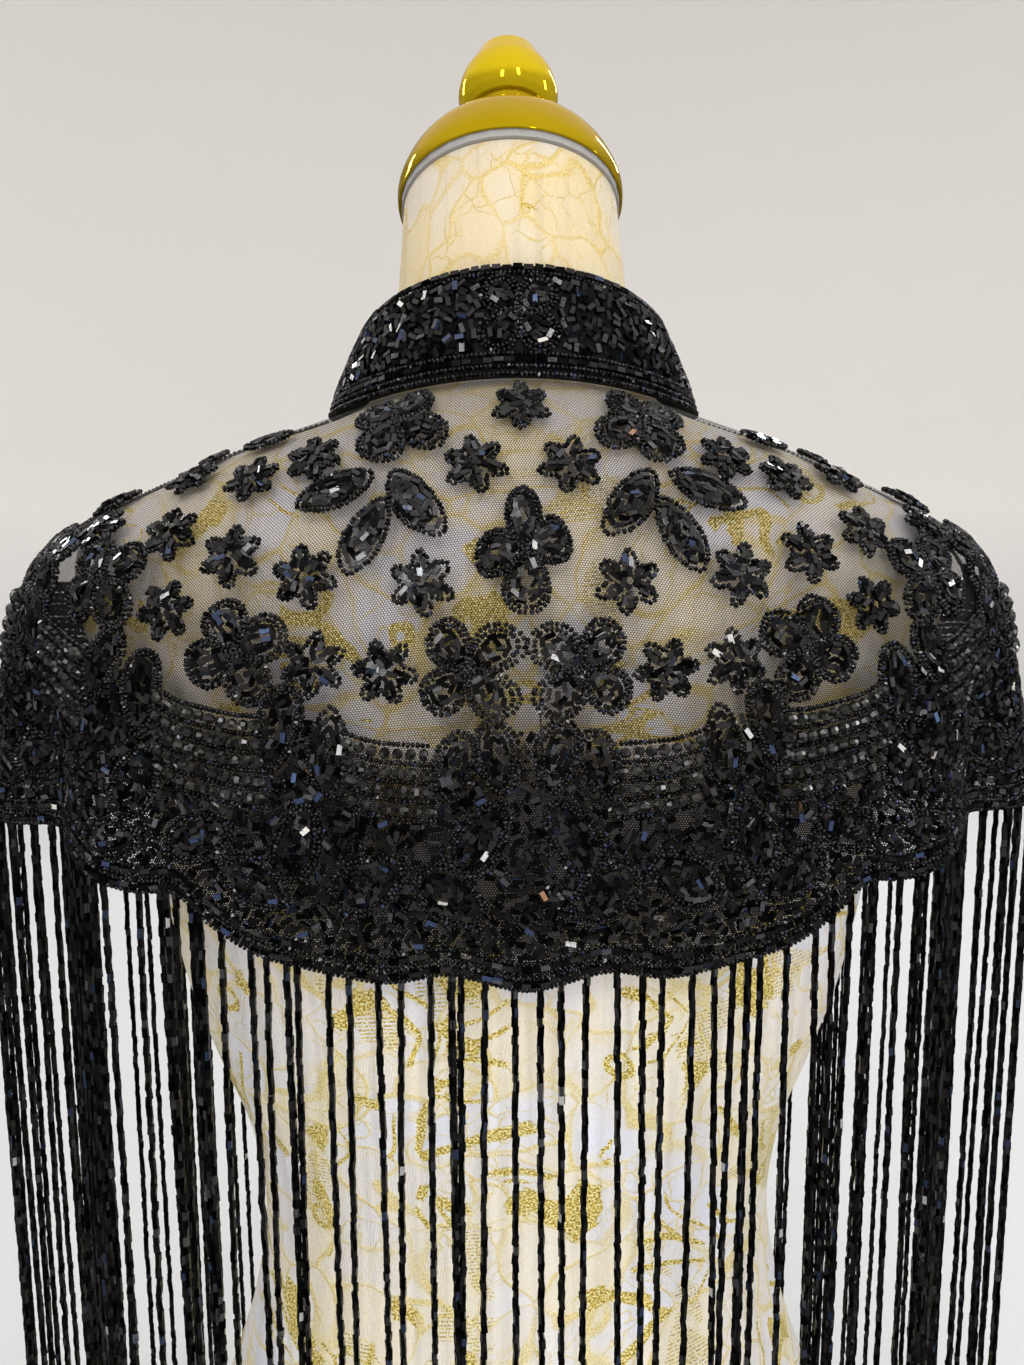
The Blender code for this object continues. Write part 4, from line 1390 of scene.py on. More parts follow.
@dataclass
class BeadTray:
    """The kinds of beads, and the node group that sets them out on points.

    Attributes:
        seed_size: A seed bead's length along its hole and its diameter.
        bugle_size: A bugle's length and diameter.
        round_size: A faceted round bead's diameter.
        rod_size: A fringe bead's length and diameter.
    """

    seed_size: tuple[float, float] = (0.0021, 0.0025)
    bugle_size: tuple[float, float] = (0.00385, 0.00275)
    round_size: float = 0.0046
    rod_size: tuple[float, float] = (0.004, 0.00282)

    def __post_init__(self) -> None:
        """Makes the beads and the node group."""
        self.collection = bpy.data.collections.new("bead_tray")
        bpy.context.scene.collection.children.link(self.collection)
        self.seed_bead()
        self.tube_bead("1_bugle", *self.bugle_size, 4)
        self.round_bead()
        self.tube_bead("3_rod", *self.rod_size, 5)
        self.tree = self.node_group()

    def keep(self, name: str, shape: bmesh.types.BMesh, smooth_faces: bool = False) -> None:
        """Puts a bead in the tray."""
        bmesh.ops.recalc_face_normals(shape, faces=shape.faces)
        mesh = bpy.data.meshes.new(name)
        shape.to_mesh(mesh)
        shape.free()
        if smooth_faces:
            mesh.shade_smooth()
        self.collection.objects.link(bpy.data.objects.new(name, mesh))

    def seed_bead(self) -> None:
        """A small squat bead."""
        shape = bmesh.new()
        bmesh.ops.create_icosphere(shape, subdivisions=1, radius=self.seed_size[1] / 2)
        bmesh.ops.scale(shape, vec=(self.seed_size[0] / self.seed_size[1], 1.0, 1.0), verts=shape.verts)
        self.keep("0_seed", shape, True)

    def tube_bead(self, name: str, length: float, across: float, sides: int) -> None:
        """A cut tube that lies along X."""
        shape = bmesh.new()
        bmesh.ops.create_cone(shape, cap_ends=True, cap_tris=False, segments=sides, radius1=across / 2,
                              radius2=across / 2, depth=length)
        bmesh.ops.rotate(shape, matrix=Matrix.Rotation(math.pi / sides, 3, "Z"), verts=shape.verts)
        bmesh.ops.rotate(shape, matrix=Matrix.Rotation(math.pi / 2, 3, "Y"), verts=shape.verts)
        self.keep(name, shape)

    def round_bead(self) -> None:
        """A faceted ball."""
        shape = bmesh.new()
        bmesh.ops.create_uvsphere(shape, u_segments=8, v_segments=4, radius=self.round_size / 2)
        bmesh.ops.rotate(shape, matrix=Matrix.Rotation(math.pi / 2, 3, "Y"), verts=shape.verts)
        self.keep("2_round", shape)

    def node_group(self) -> bpy.types.NodeTree:
        """Sets a bead on each point, turned and sized by the point's attributes, and makes them real."""
        tree = bpy.data.node_groups.new("set_beads", "GeometryNodeTree")
        for way in ("INPUT", "OUTPUT"):
            tree.interface.new_socket("Geometry", in_out=way, socket_type="NodeSocketGeometry")
        web = Web(tree)
        pick = {"Collection": self.collection, "Separate Children": True, "Reset Children": True}
        inputs = {
            "Points": web.node("NodeGroupInput").outputs[0],
            "Instance": web.node("GeometryNodeCollectionInfo", pick).outputs[0],
            "Pick Instance": True,
        }
        for socket, name, kind in (("Instance Index", "kind", "INT"), ("Rotation", "turn", "FLOAT_VECTOR"),
                                   ("Scale", "size", "FLOAT_VECTOR")):
            read = web.node("GeometryNodeInputNamedAttribute", {"Name": name}, data_type=kind)
            inputs[socket] = next(out for out in read.outputs if out.enabled)
        placed = web.node("GeometryNodeInstanceOnPoints", inputs)
        real = web.node("GeometryNodeRealizeInstances", {0: placed.outputs[0]})
        web.node("NodeGroupOutput", {0: real.outputs[0]})
        return tree

    def piece(self, name: str, beads: Beads) -> bpy.types.Object:
        """Makes one joined mesh of gathered beads.

        Args:
            name: The piece's name.
            beads: The beads.

        Returns:
            The new object.
        """
        kinds = list(Bead)
        random = np.random.default_rng(beads.seed + 77)
        rows = [(np.full(len(row[0]), kinds.index(kind)), *row) for kind, laid in beads.rows.items() for row in laid]
        index, place, along, out = (np.concatenate(column) for column in zip(*rows))
        along = unit(along)
        side = unit(np.cross(out, along))
        up = np.cross(along, side)
        roll = random.normal(0.0, 0.22, len(place))[:, None]
        side, up = side * np.cos(roll) + up * np.sin(roll), up * np.cos(roll) - side * np.sin(roll)
        turns = [Matrix(axes).transposed().to_euler() for axes in np.stack([along, side, up], 1)]
        points = bpy.data.meshes.new(name + "_points")
        points.vertices.add(len(place))
        points.vertices.foreach_set("co", place.astype(np.float32).ravel())
        size = random.normal(1.0, 0.06, (len(place), 3)).clip(0.85, 1.12)
        for label, kind, values in (
            ("turn", "FLOAT_VECTOR", np.array([tuple(turn) for turn in turns])),
            ("size", "FLOAT_VECTOR", size),
            ("tint", "FLOAT", random.uniform(0.5, 1.0, len(place)) - np.choose(index, (0.5, 0.0, 1.0, 0.5))),
            ("kind", "INT", index),
        ):
            layer = points.attributes.new(label, kind, "POINT")
            layer.data.foreach_set("vector" if kind == "FLOAT_VECTOR" else "value", values.ravel())
        holder = publish(name, points, False)
        spread = holder.modifiers.new("beads", "NODES")
        spread.node_group = self.tree
        ready = holder.evaluated_get(bpy.context.evaluated_depsgraph_get())
        mesh = bpy.data.meshes.new_from_object(ready)
        mesh.name = name
        holder.modifiers.clear()
        holder.data = mesh
        for label in ("turn", "size", "kind"):
            if label in mesh.attributes:
                mesh.attributes.remove(mesh.attributes[label])
        log.info("%s: %d beads, %d faces", name, len(place), len(mesh.polygons))
        return holder

    def put_away(self) -> None:
        """Takes the loose beads out of the scene."""
        for bead in list(self.collection.objects):
            bpy.data.objects.remove(bead)
        bpy.data.node_groups.remove(self.tree)
        bpy.data.collections.remove(self.collection)


@dataclass
class NetYoke:
    """The net: one back and two fronts, each a single open sheet.

    Attributes:
        wardrobe: The finishes.
        cone: The flat cut's radius at the neckline.
    """

    wardrobe: Wardrobe
    cone: float = 0.105

    def build(self) -> dict[str, bpy.types.Object]:
        """Builds the three sheets by name."""
        cuts = {
            "net_back": (-89.93, 89.93, 132),
            "net_front_right": (90.07, 179.1, 72),
            "net_front_left": (-179.1, -90.07, 72),
        }
        return {name: self.wardrobe.settle(self.sheet(name, *cut), Material.NET, name) for name, cut in cuts.items()}

    def sheet(self, name: str, start: float, end: float, columns: int) -> bpy.types.Object:
        """Builds one sheet between two azimuths."""
        face = Cape(raised=NET_WALL * 0.6)
        line = np.linspace(start, end, 121)
        rows = np.linspace(0.0, 1.0, 25)
        middle = 0.0 if start < 0.0 < end else (start + end) / 2
        table = np.array([arc(face.points(line, np.full(len(line), row))) for row in rows])
        table -= np.array([np.interp(middle, line, lengths) for lengths in table])[:, None]
        falls = arc(face.points(np.full(len(rows), middle), rows))

        def where(across: np.ndarray, down: np.ndarray) -> tuple[np.ndarray, np.ndarray]:
            """The azimuths and the shares down of shares of the sheet."""
            azimuth = start + (end - start) * across
            return azimuth, down * edge_down(HEM_MARKS, azimuth)

        spots: list[np.ndarray] = []

        def place(across: np.ndarray, down: np.ndarray) -> np.ndarray:
            """The sheet's points."""
            spots[:] = where(across, down)
            return face.points(*spots)

        def flat(across: np.ndarray, down: np.ndarray) -> np.ndarray:
            """The sheet's flat cut, a part of a ring."""
            _, lower = where(across, down)
            length = read_table(table, np.clip(lower, 0.0, 1.0) * (len(rows) - 1), across * (len(line) - 1))
            radius = self.cone + np.interp(lower, rows, falls)
            return np.stack([radius * np.sin(length / radius), -radius * np.cos(length / radius)], -1)

        made = loft(name + "_sheet", (columns, 52), place, flat)
        # Each point's share of the thicker thread under the border, which paints shade between the beads.
        sewn = made.data.attributes.new("sewn", "FLOAT", "POINT")
        sewn.data.foreach_set("value", smooth((spots[1] - edge_down(BORDER_MARKS, spots[0]) - 0.01) / 0.04))
        return made


@dataclass
class Darts:
    """The black threads of the seams that shape the back.

    Attributes:
        wardrobe: The finishes.
        reach: A thread's radius.
    """

    wardrobe: Wardrobe
    reach: float = 0.00028

    def build(self) -> list[bpy.types.Object]:
        """Builds a thread for each dart, from the yoke to the hem."""
        face = Cape(raised=NET_WALL + 0.0004)
        made = []

        def flat(across: np.ndarray, down: np.ndarray) -> np.ndarray:
            """The thread's flat places, its own shares."""
            return np.stack([across, down], -1)

        for number, azimuth in enumerate((-19.0, 0.6, 19.0)):

            def place(across: np.ndarray, down: np.ndarray, azimuth: float = azimuth) -> np.ndarray:
                """The thread's points."""
                at = azimuth + 0.25 * np.sin(down * 5.0) * np.ones_like(across)
                lower = 0.56 + 0.33 * down
                right, _, out = face.axes(at, lower)
                turn = across[:, None] * 2.0 * math.pi
                return face.points(at, lower) + (right * np.cos(turn) + out * np.sin(turn)) * self.reach

            thread = loft(f"dart_thread_{number}", (5, 60), place, flat, True)
            made.append(self.wardrobe.settle(thread, Material.CLOTH))
        return made


@dataclass
class Embroidery:
    """The motifs on the bare net.

    Attributes:
        wardrobe: The finishes.
        tray: The beads.
        seam_side: How far from the shoulder seam each row of seeds lies, in degrees.
        seam_pitch: The spacing of the seeds along it.
        seam_end: How far down it they reach.
    """

    wardrobe: Wardrobe
    tray: BeadTray
    seam_side: float = 1.2
    seam_pitch: float = 0.0072
    seam_end: float = 0.6

    def build(self) -> dict[str, bpy.types.Object]:
        """Sews the motifs and the beaded shoulder lines, a piece for each net."""
        face = Cape()
        beads = Beads(face, 3)
        needle = Needle(beads)
        needle.quarters(YOKE_MOTIFS)
        for side in (-1.0, 1.0):
            for start, shift in ((0.01, -self.seam_side), (0.014, self.seam_side)):
                down = np.arange(start, self.seam_end, self.seam_pitch)
                azimuth = np.full(len(down), side * (90.0 + shift))
                beads.lay(Bead.SEED, azimuth, down, np.full(len(down), math.pi / 2), SEED_LIFT)
        made = {}
        for number, side in enumerate(("back", "front_right", "front_left")):

            def on_net(place: np.ndarray, number: int = number) -> np.ndarray:
                """Which places lie on this net."""
                return np.where(place[:, 1] < 0.0, 0, np.where(place[:, 0] >= 0.0, 1, 2)) == number

            piece = self.tray.piece(f"yoke_embroidery_{side}", beads.share(3 + number, on_net))
            made[side] = self.wardrobe.settle(piece, Material.BEADS)
        return made


@dataclass
class Border:
    """The dense layer of beads on the net's lower half.

    Attributes:
        wardrobe: The finishes.
        tray: The beads.
        depth: How far down the map of the border reaches.
        window_pitch: The spacing of the small windows of net.
    """

    wardrobe: Wardrobe
    tray: BeadTray
    depth: float = 0.125
    window_pitch: float = 0.026

    def __post_init__(self) -> None:
        """Charts the border."""
        self.chart = Chart(Cape(), 0.8, 0.54)
        self.packing = Packing(self.chart, self.depth)
        self.beads = Beads(Cape(), 11)

    def along_edge(self, marks: list[Mark], start: float, end: float, inset: float,
                   pitch: float) -> tuple[np.ndarray, np.ndarray, np.ndarray]:
        """Evenly spaced places along an edge.

        Args:
            marks: The edge.
            start: The first azimuth.
            end: The last azimuth.
            inset: How far below the edge, or above it if negative.
            pitch: The spacing.

        Returns:
            The azimuths, the shares down and the edge's turns.
        """
        azimuth = np.arange(start, end, 0.5)
        across, along = self.chart.flat(azimuth, edge_down(marks, azimuth))
        rounded = np.convolve(np.pad(along, 3, mode="edge"), np.full(7, 1 / 7), mode="valid")
        places, turns = spaced(np.stack([across, rounded + inset], -1), pitch)
        azimuth, down = self.chart.lift(places[:, 0], places[:, 1])
        return azimuth, down, turns

    def row(self, kind: Bead, marks: list[Mark], ends: tuple[float, float], inset: float) -> None:
        """Lays a row of beads along an edge."""
        pitch, lift, length, width = ROW_BEADS[kind]
        azimuth, down, turns = self.along_edge(marks, *ends, inset, pitch)
        self.beads.lay(kind, azimuth, down, turns, lift)
        self.packing.mark(azimuth, down, turns, length, width)

    def edge_rows(self) -> None:
        """Lays the rows along the hem."""
        for kind, inset in HEM_ROWS:
            self.row(kind, HEM_MARKS, (-ROWS_END, ROWS_END), -inset)

    def blocks(self) -> None:
        """Lays the blocks of round beads between rows of seeds."""
        for block in BLOCKS:
            for start, end in (
                (block.start, block.end),
                (-block.end, -block.start),
                (180.0 - block.end, 180.0 - block.start),
                (block.start - 180.0, block.end - 180.0),
            ):
                self.row(Bead.SEED, BORDER_MARKS, (start, end), block.below - 0.0024)
                for row in range(block.rows):
                    inset = block.below + 0.001 + row * BLOCK_PITCH
                    self.row(Bead.ROUND, BORDER_MARKS, (start, end), inset)
                    self.row(Bead.SEED, BORDER_MARKS, (start, end), inset + BLOCK_PITCH / 2)

    def loose(self) -> None:
        """Fills what is bare with loose bugles and then seeds, but for small windows of net."""
        random = self.beads.random
        for across in np.arange(self.chart.round[0], self.chart.round[-1], self.window_pitch):
            u, v = across + random.uniform(-0.008, 0.008), random.uniform(0.05, 0.088)
            azimuth, down = self.chart.lift(np.array([u]), np.array([v]))
            size = random.uniform(0.003, 0.0065)
            for turn in (0.0, math.pi / 4):
                self.packing.mark(azimuth, down, np.array([turn]), size, size * 0.7)

        def inside(azimuth: np.ndarray, down: np.ndarray) -> np.ndarray:
            """Whether a place lies in the border."""
            top = edge_down(BORDER_MARKS, azimuth) + 0.012
            low = edge_down(HEM_MARKS, azimuth) - 0.008
            return (down > top) & (down < low) & (np.abs(azimuth) < LOOSE_END)

        def flow(azimuth: np.ndarray, down: np.ndarray) -> np.ndarray:
            """A turn that swirls slowly over the border."""
            u, v = self.chart.flat(azimuth, down)
            swirl = 2.2 * np.sin(u * 120.0 + 1.4 * np.sin(v * 150.0)) + 1.6 * np.cos(v * 130.0 + np.sin(u * 95.0))
            return swirl + random.normal(0.0, 0.35, len(u))

        spots = self.packing.fill(random, inside, 0.0035, 0.0021, 0.0011, 6, flow)
        self.beads.lay(Bead.BUGLE, *spots, BUGLE_LIFT)
        spots = self.packing.fill(random, inside, 0.0014, 0.0014, 0.0009, 1)
        self.beads.lay(Bead.SEED, *spots, SEED_LIFT)

    def build(self) -> dict[str, bpy.types.Object]:
        """Builds the border, a piece for each gore and side."""
        self.edge_rows()
        self.blocks()
        Needle(self.beads, self.packing).quarters(BORDER_MOTIFS)
        self.loose()
        made = {}
        for gore, side in itertools.product(GORES, ("right", "left")):

            def in_gore(place: np.ndarray, gore: Gore = gore, side: str = side) -> np.ndarray:
                """Which places lie in this gore, by their azimuths on the hem's ring."""
                hem = CAPE_RINGS[-1]
                depth = np.where(place[:, 1] < 0, hem.back, hem.front)
                azimuth = np.degrees(np.arctan2(place[:, 0] / hem.half_width, -place[:, 1] / depth))
                return gore.holds(azimuth, side)

            name = f"border_{gore.name}_{side}"
            share = self.beads.share(100 + int(gore.start) + (7 if side == "left" else 0), in_gore)
            made[name] = self.wardrobe.settle(self.tray.piece(name + "_beads", share), Material.BEADS, name)
        return made


@dataclass
class StandCollar:
    """The stand collar: a black band under bugles, with rows of beads at its edges.

    Attributes:
        wardrobe: The finishes.
        tray: The beads.
        wall: The band's thickness.
    """

    wardrobe: Wardrobe
    tray: BeadTray
    wall: float = 0.0012

    def build(self) -> tuple[bpy.types.Object, bpy.types.Object]:
        """Builds the band and its beads."""
        face = Collar(raised=self.wall)
        chart = Chart(face, 0.5, 0.0, (-COLLAR_END, COLLAR_END))

        def place(across: np.ndarray, down: np.ndarray) -> np.ndarray:
            """The band's outer points."""
            return face.points(-COLLAR_END + 2 * COLLAR_END * across, down)

        def flat(across: np.ndarray, down: np.ndarray) -> np.ndarray:
            """The band's flat places."""
            return np.stack(chart.flat(-COLLAR_END + 2 * COLLAR_END * across, down), -1)

        band = loft("collar_band", (150, 12), place, flat)
        wall = band.modifiers.new("wall", "SOLIDIFY")
        wall.thickness = self.wall
        wall.offset = -1.0
        self.wardrobe.settle(band, Material.CLOTH, "collar")
        beads = Beads(face, 21)
        packing = Packing(chart, 0.06)
        needle = Needle(beads, packing)
        for from_foot, inset, kind in (
            (False, 0.0011, Bead.BUGLE),
            (False, 0.0035, Bead.SEED),
            (True, 0.0012, Bead.SEED),
            (True, 0.0042, Bead.SEED),
            (True, 0.0067, Bead.BUGLE),
            (True, 0.0092, Bead.SEED),
        ):
            self.row(needle, chart, from_foot, inset, kind)
        for azimuth in (0.0, 78.0, -78.0, 142.0, -142.0):
            needle.motif(Motif(Shape.FLOWER, azimuth, 0.44, 0.035, 0.015), azimuth, 1.0)

        def inside(azimuth: np.ndarray, down: np.ndarray) -> np.ndarray:
            """Whether a place lies between the edge rows."""
            fall = np.interp(azimuth, chart.azimuths, chart.fall)
            return (down * fall > 0.005) & ((1 - down) * fall > 0.0104) & (np.abs(azimuth) < COLLAR_END - 1.0)

        spots = packing.fill(beads.random, inside, 0.0035, 0.0021, 0.001, 6)
        beads.lay(Bead.BUGLE, *spots, BUGLE_LIFT)
        return band, self.wardrobe.settle(self.tray.piece("collar_beads", beads), Material.BEADS)

    def row(self, needle: Needle, chart: Chart, from_foot: bool, inset: float, kind: Bead) -> None:
        """Lays a row of beads along the collar's top or foot.

        Args:
            needle: What sews them.
            chart: The collar's map.
            from_foot: Whether the edge is the foot.
            inset: How far inside the edge the row lies.
            kind: The bead.
        """
        pitch, lift, long = (0.0043, BUGLE_LIFT, 0.0038) if kind is Bead.BUGLE else (SEED_PITCH, SEED_LIFT, 0.0019)
        azimuth = np.arange(-COLLAR_END + 0.6, COLLAR_END - 0.6, 0.5)
        fall = np.interp(azimuth, chart.azimuths, chart.fall)
        down = 1.0 - inset / fall if from_foot else inset / fall
        ends = arc(chart.face.points(azimuth, down))
        where = np.arange(pitch / 2, ends[-1], pitch)
        azimuth, down = np.interp(where, ends, azimuth), np.interp(where, ends, down)
        turns = needle.beads.random.normal(0.0, 0.06, len(where))
        needle.beads.lay(kind, azimuth, down, turns, lift)
        needle.packing.mark(azimuth, down, turns, long, 0.0022)


@dataclass
class Fringe:
    """The bead strands below the hem.

    Attributes:
        wardrobe: The finishes.
        tray: The beads.
        pitch: The length of one bead on its thread.
        sway: How far a strand's foot strays sideways.
        swing: How far it strays outwards.
        bow: How far its middle bows sideways.
        play: How far a bead sits off its thread.
        tilt: How far a bead tips, in radians.
    """

    wardrobe: Wardrobe
    tray: BeadTray
    pitch: float = 0.00385
    sway: float = 0.0016
    swing: float = 0.0007
    bow: float = 0.0009
    play: float = 0.00014
    tilt: float = 0.045

    def heads(self) -> list[float]:
        """The strands' azimuths, evenly spaced with some drawn together."""
        chart = Chart(Cape(), 0.97, 0.5)
        random = np.random.default_rng(31)
        places = np.arange(chart.round[0] + 0.006, chart.round[-1] - 0.004, STRAND_PITCH)
        places = places + random.uniform(-0.0031, 0.0031, len(places))
        extra = []
        for azimuth, count in CLUSTERS.items():
            middle = float(np.interp(azimuth, chart.azimuths, chart.round))
            extra.extend(middle + random.normal(0.0, 0.0035, count))
        azimuths, _ = chart.lift(np.concatenate([places, extra]), np.zeros(len(places) + len(extra)))
        return sorted(float(value) for value in azimuths if abs(value) < SEWN_END)

    def build(self) -> dict[str, bpy.types.Object]:
        """Builds the strands, a piece for each gore and side."""
        face = Cape(raised=(NET_WALL + GAP + 0.0019) / 2)
        heads = np.array(self.heads())
        log.info("fringe: %d strands", len(heads))
        made = {}
        for number, (gore, side) in enumerate(itertools.product(GORES, ("right", "left"))):
            name = f"fringe_{gore.name}_{side}"
            beads = Beads(face, 200 + number)
            for azimuth in heads[gore.holds(heads, side)]:
                self.strand(beads, float(azimuth))
            made[name] = self.wardrobe.settle(self.tray.piece(name + "_strands", beads), Material.STRANDS, name)
        return made

    def strand(self, beads: Beads, azimuth: float) -> None:
        """Hangs one strand from the hem."""
        at = np.array([azimuth])
        down = edge_down(HEM_MARKS, at) - STRAND_TUCK
        head = beads.face.points(at, down)[0]
        right, _, out = (axis[0] for axis in beads.face.axes(at, down))
        out = unit(out * np.array([1.0, 1.0, 0.0]))
        count = int((head[2] - FRINGE_END) / self.pitch)
        random = beads.random
        sway = right * random.normal(0.0, self.sway) + out * random.normal(0.0, self.swing)
        share = np.linspace(0.0, 1.0, count + 1)[:, None]
        drop = np.arange(count + 1)[:, None] * np.array([[0.0, 0.0, -self.pitch]])
        bow = np.sin(share * math.pi * random.uniform(0.8, 1.6)) * right * random.normal(0.0, self.bow)
        joints = head + drop + sway * share + bow
        joints[1:] += right * random.normal(0.0, 0.0001, (count, 1)) + out * random.normal(0.0, 0.00008, (count, 1))
        middles, ways = (joints[1:] + joints[:-1]) / 2, unit(np.diff(joints, axis=0))
        middles += right * random.normal(0.0, self.play, (count, 1))
        ways = unit(ways + right * random.normal(0.0, self.tilt, (count, 1)))
        beads.put(Bead.ROD, middles, ways, np.tile(out, (count, 1)))


@dataclass
class DressForm:
    """The limbless form under its lace.

    Attributes:
        wardrobe: The finishes.
        columns: How many faces there are round it, a multiple of four.
        rows: How many there are down it.
    """

    wardrobe: Wardrobe
    columns: int = 144
    rows: int = 100

    def build(self) -> bpy.types.Object:
        """Builds the form as one closed shell."""
        stations = FORM_RINGS[::-1]
        azimuths = np.linspace(-180.0, 180.0, self.columns + 1)
        middle, side = self.columns // 2, self.columns // 4
        rings = np.stack([ring_points(ring, azimuths) for ring in stations])
        table = np.array([arc(ring) for ring in rings])
        table -= table[:, [middle]]
        falls = arc(rings[:, side])
        shares = np.linspace(0.0, 1.0, len(stations))

        def place(across: np.ndarray, down: np.ndarray) -> np.ndarray:
            """The form's points."""
            azimuth = -180.0 + 360.0 * across
            return through(np.stack([ring_points(ring, azimuth) for ring in stations]), down)

        def flat(across: np.ndarray, down: np.ndarray) -> np.ndarray:
            """The lace's flat places."""
            length = read_table(table, down * (len(stations) - 1), across * (len(azimuths) - 1))
            return np.stack([length, -np.interp(down, shares, falls)], -1)

        form = loft("lace_form", (self.columns, self.rows), place, flat, closed=True)
        form.data.set_sharp_from_angle(angle=math.radians(50.0))
        return self.wardrobe.settle(form, Material.LACE, "dress_form")


@dataclass
class NeckCap:
    """The board, the flared gold cap and its knob.

    Attributes:
        wardrobe: The finishes.
        board_radius: The board's radius.
        board_thickness: Its thickness.
        knob_radius: The knob's radius.
        knob_top: How high it reaches.
        knob_foot: Where it meets the cap.
    """

    wardrobe: Wardrobe
    board_radius: float = 0.0532
    board_thickness: float = 0.003
    knob_radius: float = 0.0249
    knob_top: float = 0.0935
    knob_foot: float = 0.053

    def build(self) -> list[bpy.types.Object]:
        """Builds the cap and the knob, and dresses the board."""
        recess, ceiling = self.board_radius + GAP, self.board_thickness + 2 * GAP
        flare = curved([(0.0198, 0.051), (0.0206, 0.0462), (0.0238, 0.0412), (0.0318, 0.036), (0.0416, 0.0288),
                        (0.0488, 0.0203), (0.053, 0.012), (0.0549, 0.0055), (0.0547, 0.0004)], 4)
        top = self.knob_foot - GAP
        crown = [(0.0, top), (0.0186, top), (0.0194, top - 0.0004)]
        inside = [(0.0546, 0.0), (recess, 0.0), (recess, ceiling), (0.0, ceiling)]
        cap = spun("gold_cap", [*crown, *flare, *inside], CAP_LEAN, CAP_MIDDLE, 96)
        shape = [(0.0, 0.0), (0.012, 0.2), (0.045, 0.37), (0.15, 0.6), (0.225, 0.67), (0.355, 0.79), (0.515, 0.93),
                 (0.69, 1.0), (0.8, 0.99), (0.916, 0.93), (1.0, 0.84)]
        tall = self.knob_top - self.knob_foot
        ball = curved([(self.knob_radius * across, self.knob_top - tall * down) for down, across in shape], 4)
        knob = spun("gold_knob", [*ball, (0.0, self.knob_foot)], CAP_LEAN, CAP_MIDDLE, 96)
        self.wardrobe.settle(cap, Material.GOLD, "neck_cap")
        self.wardrobe.settle(knob, Material.KNOB, "cap_knob")
        self.wardrobe.dress(frame["nodes"]["neck_board"], Material.BOARD)
        return [cap, knob]


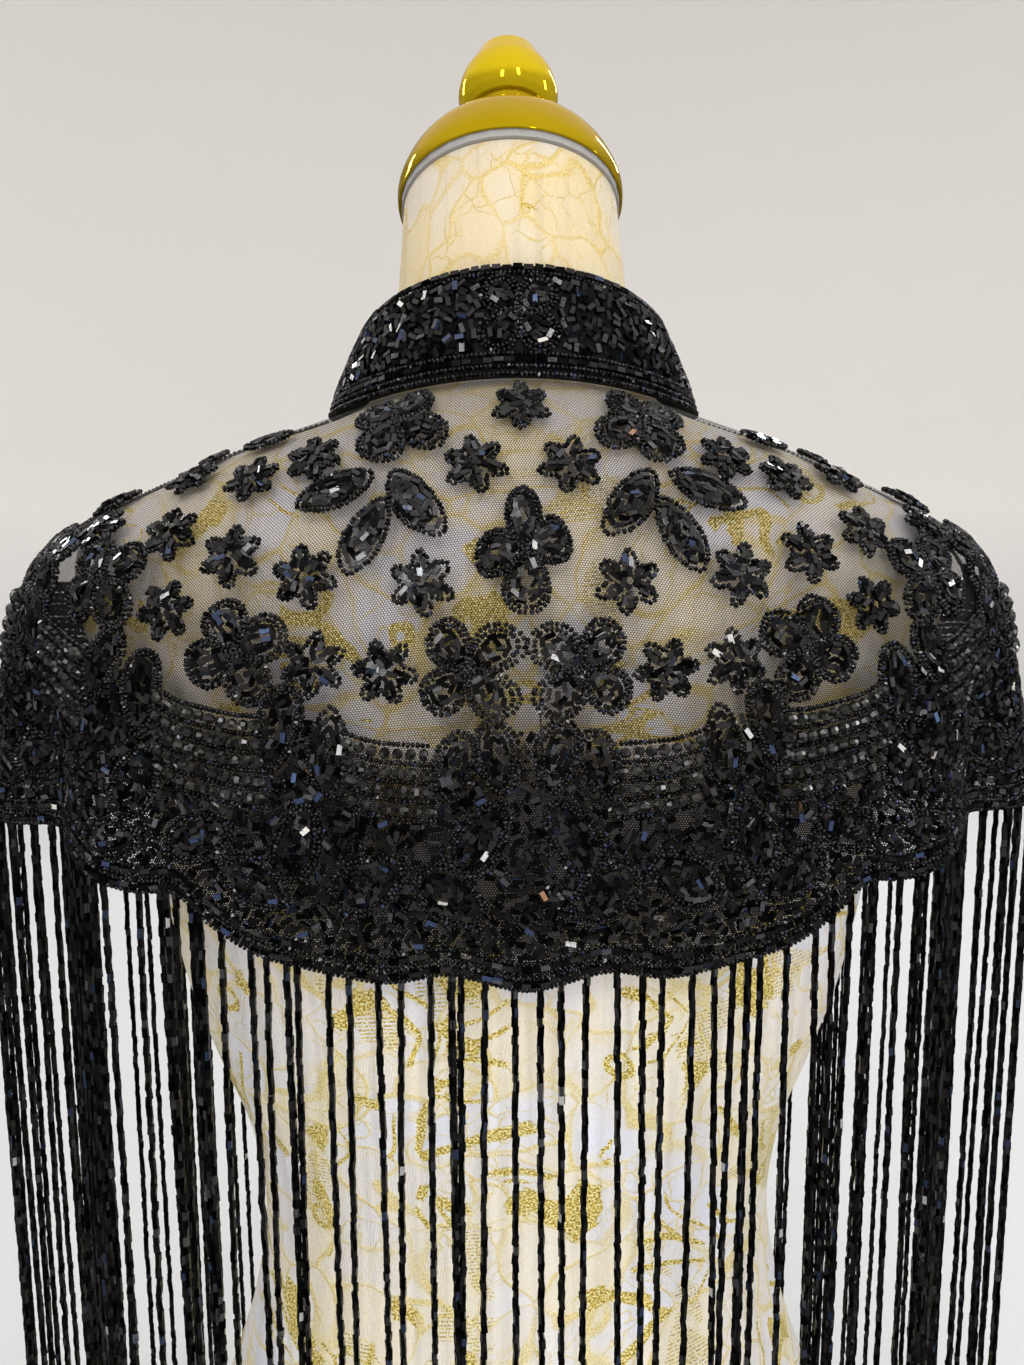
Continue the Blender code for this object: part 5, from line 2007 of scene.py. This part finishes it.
@dataclass
class Studio:
    """The pale stage, the soft light and the camera.

    Attributes:
        wardrobe: The finishes.
        distance: How far behind the neck the camera stands.
        height: Its height.
        yaw: How far round it stands, in degrees.
        pitch: How far it looks down.
        roll: How far it leans.
        aside: How far it stands to the right.
        lens: Its focal length in millimetres.
        long_side: The film's long side in millimetres.
        floor_radius: The flat floor's radius.
        sweep: The radius of the curve from the floor to the wall.
        wall_top: How high the wall is.
    """

    wardrobe: Wardrobe
    distance: float = 0.48
    height: float = 0.584
    yaw: float = 2.0
    pitch: float = 8.0
    roll: float = 0.3
    aside: float = -0.0015
    lens: float = 25.98
    long_side: float = 36.0
    floor_radius: float = 2.2
    sweep: float = 0.9
    wall_top: float = 3.4

    def stage(self) -> None:
        """Builds a round floor that curves up into a wall."""
        turns = [math.radians(angle) for angle in range(0, 91, 6)]
        radius, bend = self.floor_radius, self.sweep
        curve = [(radius + bend * math.sin(turn), bend * (1.0 - math.cos(turn))) for turn in turns]
        profile = [(0.0, 0.0), *curve, (radius + bend, self.wall_top)]
        floor = spun("stage_floor", profile, 0.0, Vector((0.0, 0.0, -0.0005)), 96)
        floor.data.flip_normals()
        self.wardrobe.dress(floor, Material.FLOOR)
        floor.visible_glossy = False

    def lamp(self, name: str, place: tuple[float, float, float], size: float, power: float,
             colour: tuple[float, float, float] = (1.0, 1.0, 1.0), mirrored: bool = False, tall: float = 1.0) -> None:
        """Hangs an area light that faces the capelet; only a mirrored one shows in gloss."""
        light = bpy.data.lights.new(name, "AREA")
        light.shape = "RECTANGLE"
        light.size, light.size_y = size, size * tall
        light.energy = power
        light.color = colour
        lamp = bpy.data.objects.new(name, light)
        lamp.location = place
        lamp.rotation_euler = (Vector((0.0, 0.0, 0.52)) - Vector(place)).to_track_quat("-Z", "Y").to_euler()
        lamp.visible_glossy = mirrored
        lamp.visible_camera = False
        bpy.context.scene.collection.objects.link(lamp)

    def lights(self) -> None:
        """Hangs the lights and sets the world."""
        self.lamp("key", (-1.1, -1.5, 1.9), 1.2, 10.0, (1.0, 0.98, 0.95))
        self.lamp("fill", (1.5, -1.1, 1.3), 1.2, 5.0, (0.93, 0.96, 1.0))
        self.lamp("low", (0.25, -1.25, 0.22), 0.9, 9.0, (1.0, 0.98, 0.96))
        self.lamp("top", (0.1, 0.1, 2.6), 1.8, 8.0)
        self.lamp("front", (0.4, 1.9, 1.4), 1.4, 14.0)
        windows = ((-0.35, -1.3, 1.25), (0.55, -1.35, 1.5), (0.9, 1.2, 1.6), (-1.3, 0.9, 1.4), (1.7, 0.0, 1.2))
        for index, place in enumerate(windows):
            self.lamp(f"window_{index}", place, 0.14, 4.5, mirrored=True, tall=3.4)
        world = bpy.data.worlds.new("studio_world")
        world.use_nodes = True
        web = Web(world.node_tree)
        sky = web.tree.nodes["Background"]
        room = [(0.0, 0.1), (0.5, 0.16), (0.6, 0.3), (0.7, 0.22), (0.8, 1.0), (1.0, 1.0)]
        height = web.math("MULTIPLY_ADD", web.parts(web.place("Generated"))[2], 0.5, 0.5)
        web.feed(sky.inputs["Color"], web.mix(web.ramp(height, room), (0.0, 0.0, 0.0), (1.0, 0.97, 0.94)))
        sky.inputs["Strength"].default_value = 0.95
        bpy.context.scene.world = world

    def camera(self) -> None:
        """Places the camera."""
        yaw, pitch, roll = (math.radians(angle) for angle in (self.yaw, self.pitch, self.roll))
        forward = Vector((math.sin(yaw) * math.cos(pitch), math.cos(yaw) * math.cos(pitch), -math.sin(pitch)))
        right = Vector((math.cos(yaw), -math.sin(yaw), 0.0))
        up = right.cross(forward)
        leaned_right = right * math.cos(roll) - up * math.sin(roll)
        leaned_up = right * math.sin(roll) + up * math.cos(roll)
        data = bpy.data.cameras.new("camera")
        data.lens = self.lens
        data.sensor_width = self.long_side
        data.sensor_fit = "AUTO"
        data.clip_start = 0.02
        eye = bpy.data.objects.new("camera", data)
        turn = Matrix((leaned_right, leaned_up, -forward)).transposed()
        place = Vector((-self.distance * math.sin(yaw) + self.aside, -self.distance * math.cos(yaw), self.height))
        eye.matrix_world = Matrix.Translation(place) @ turn.to_4x4()
        bpy.context.scene.collection.objects.link(eye)
        bpy.context.scene.camera = eye

    def build(self) -> None:
        """Sets everything up."""
        self.stage()
        self.lights()
        self.camera()
        bpy.context.scene.view_settings.view_transform = "Standard"


def main() -> None:
    """Builds the pieces in order and reports each."""
    logging.basicConfig(level=logging.INFO, format="%(name)s: %(message)s")
    wardrobe = Wardrobe()
    tray = BeadTray()
    Studio(wardrobe).build()
    form = DressForm(wardrobe).build()
    NeckCap(wardrobe).build()
    net = NetYoke(wardrobe).build()
    Darts(wardrobe).build()
    embroidery = Embroidery(wardrobe, tray).build()
    border = Border(wardrobe, tray).build()
    band, collar = StandCollar(wardrobe, tray).build()
    Fringe(wardrobe, tray).build()
    tray.put_away()
    for side in ("right", "left"):
        pieces = [border[f"border_{gore}_{side}"] for gore in ("shoulder", "side_front", "front")]
        pieces.append(embroidery[f"front_{side}"])
    faces = 0
    for piece in bpy.context.scene.objects:
        if piece.type == "MESH" and not piece.hide_render:
            piece.data.calc_loop_triangles()
            faces += len(piece.data.loop_triangles)
    log.info("triangles in the scene: %d", faces)


if __name__ == "__main__":
    main()
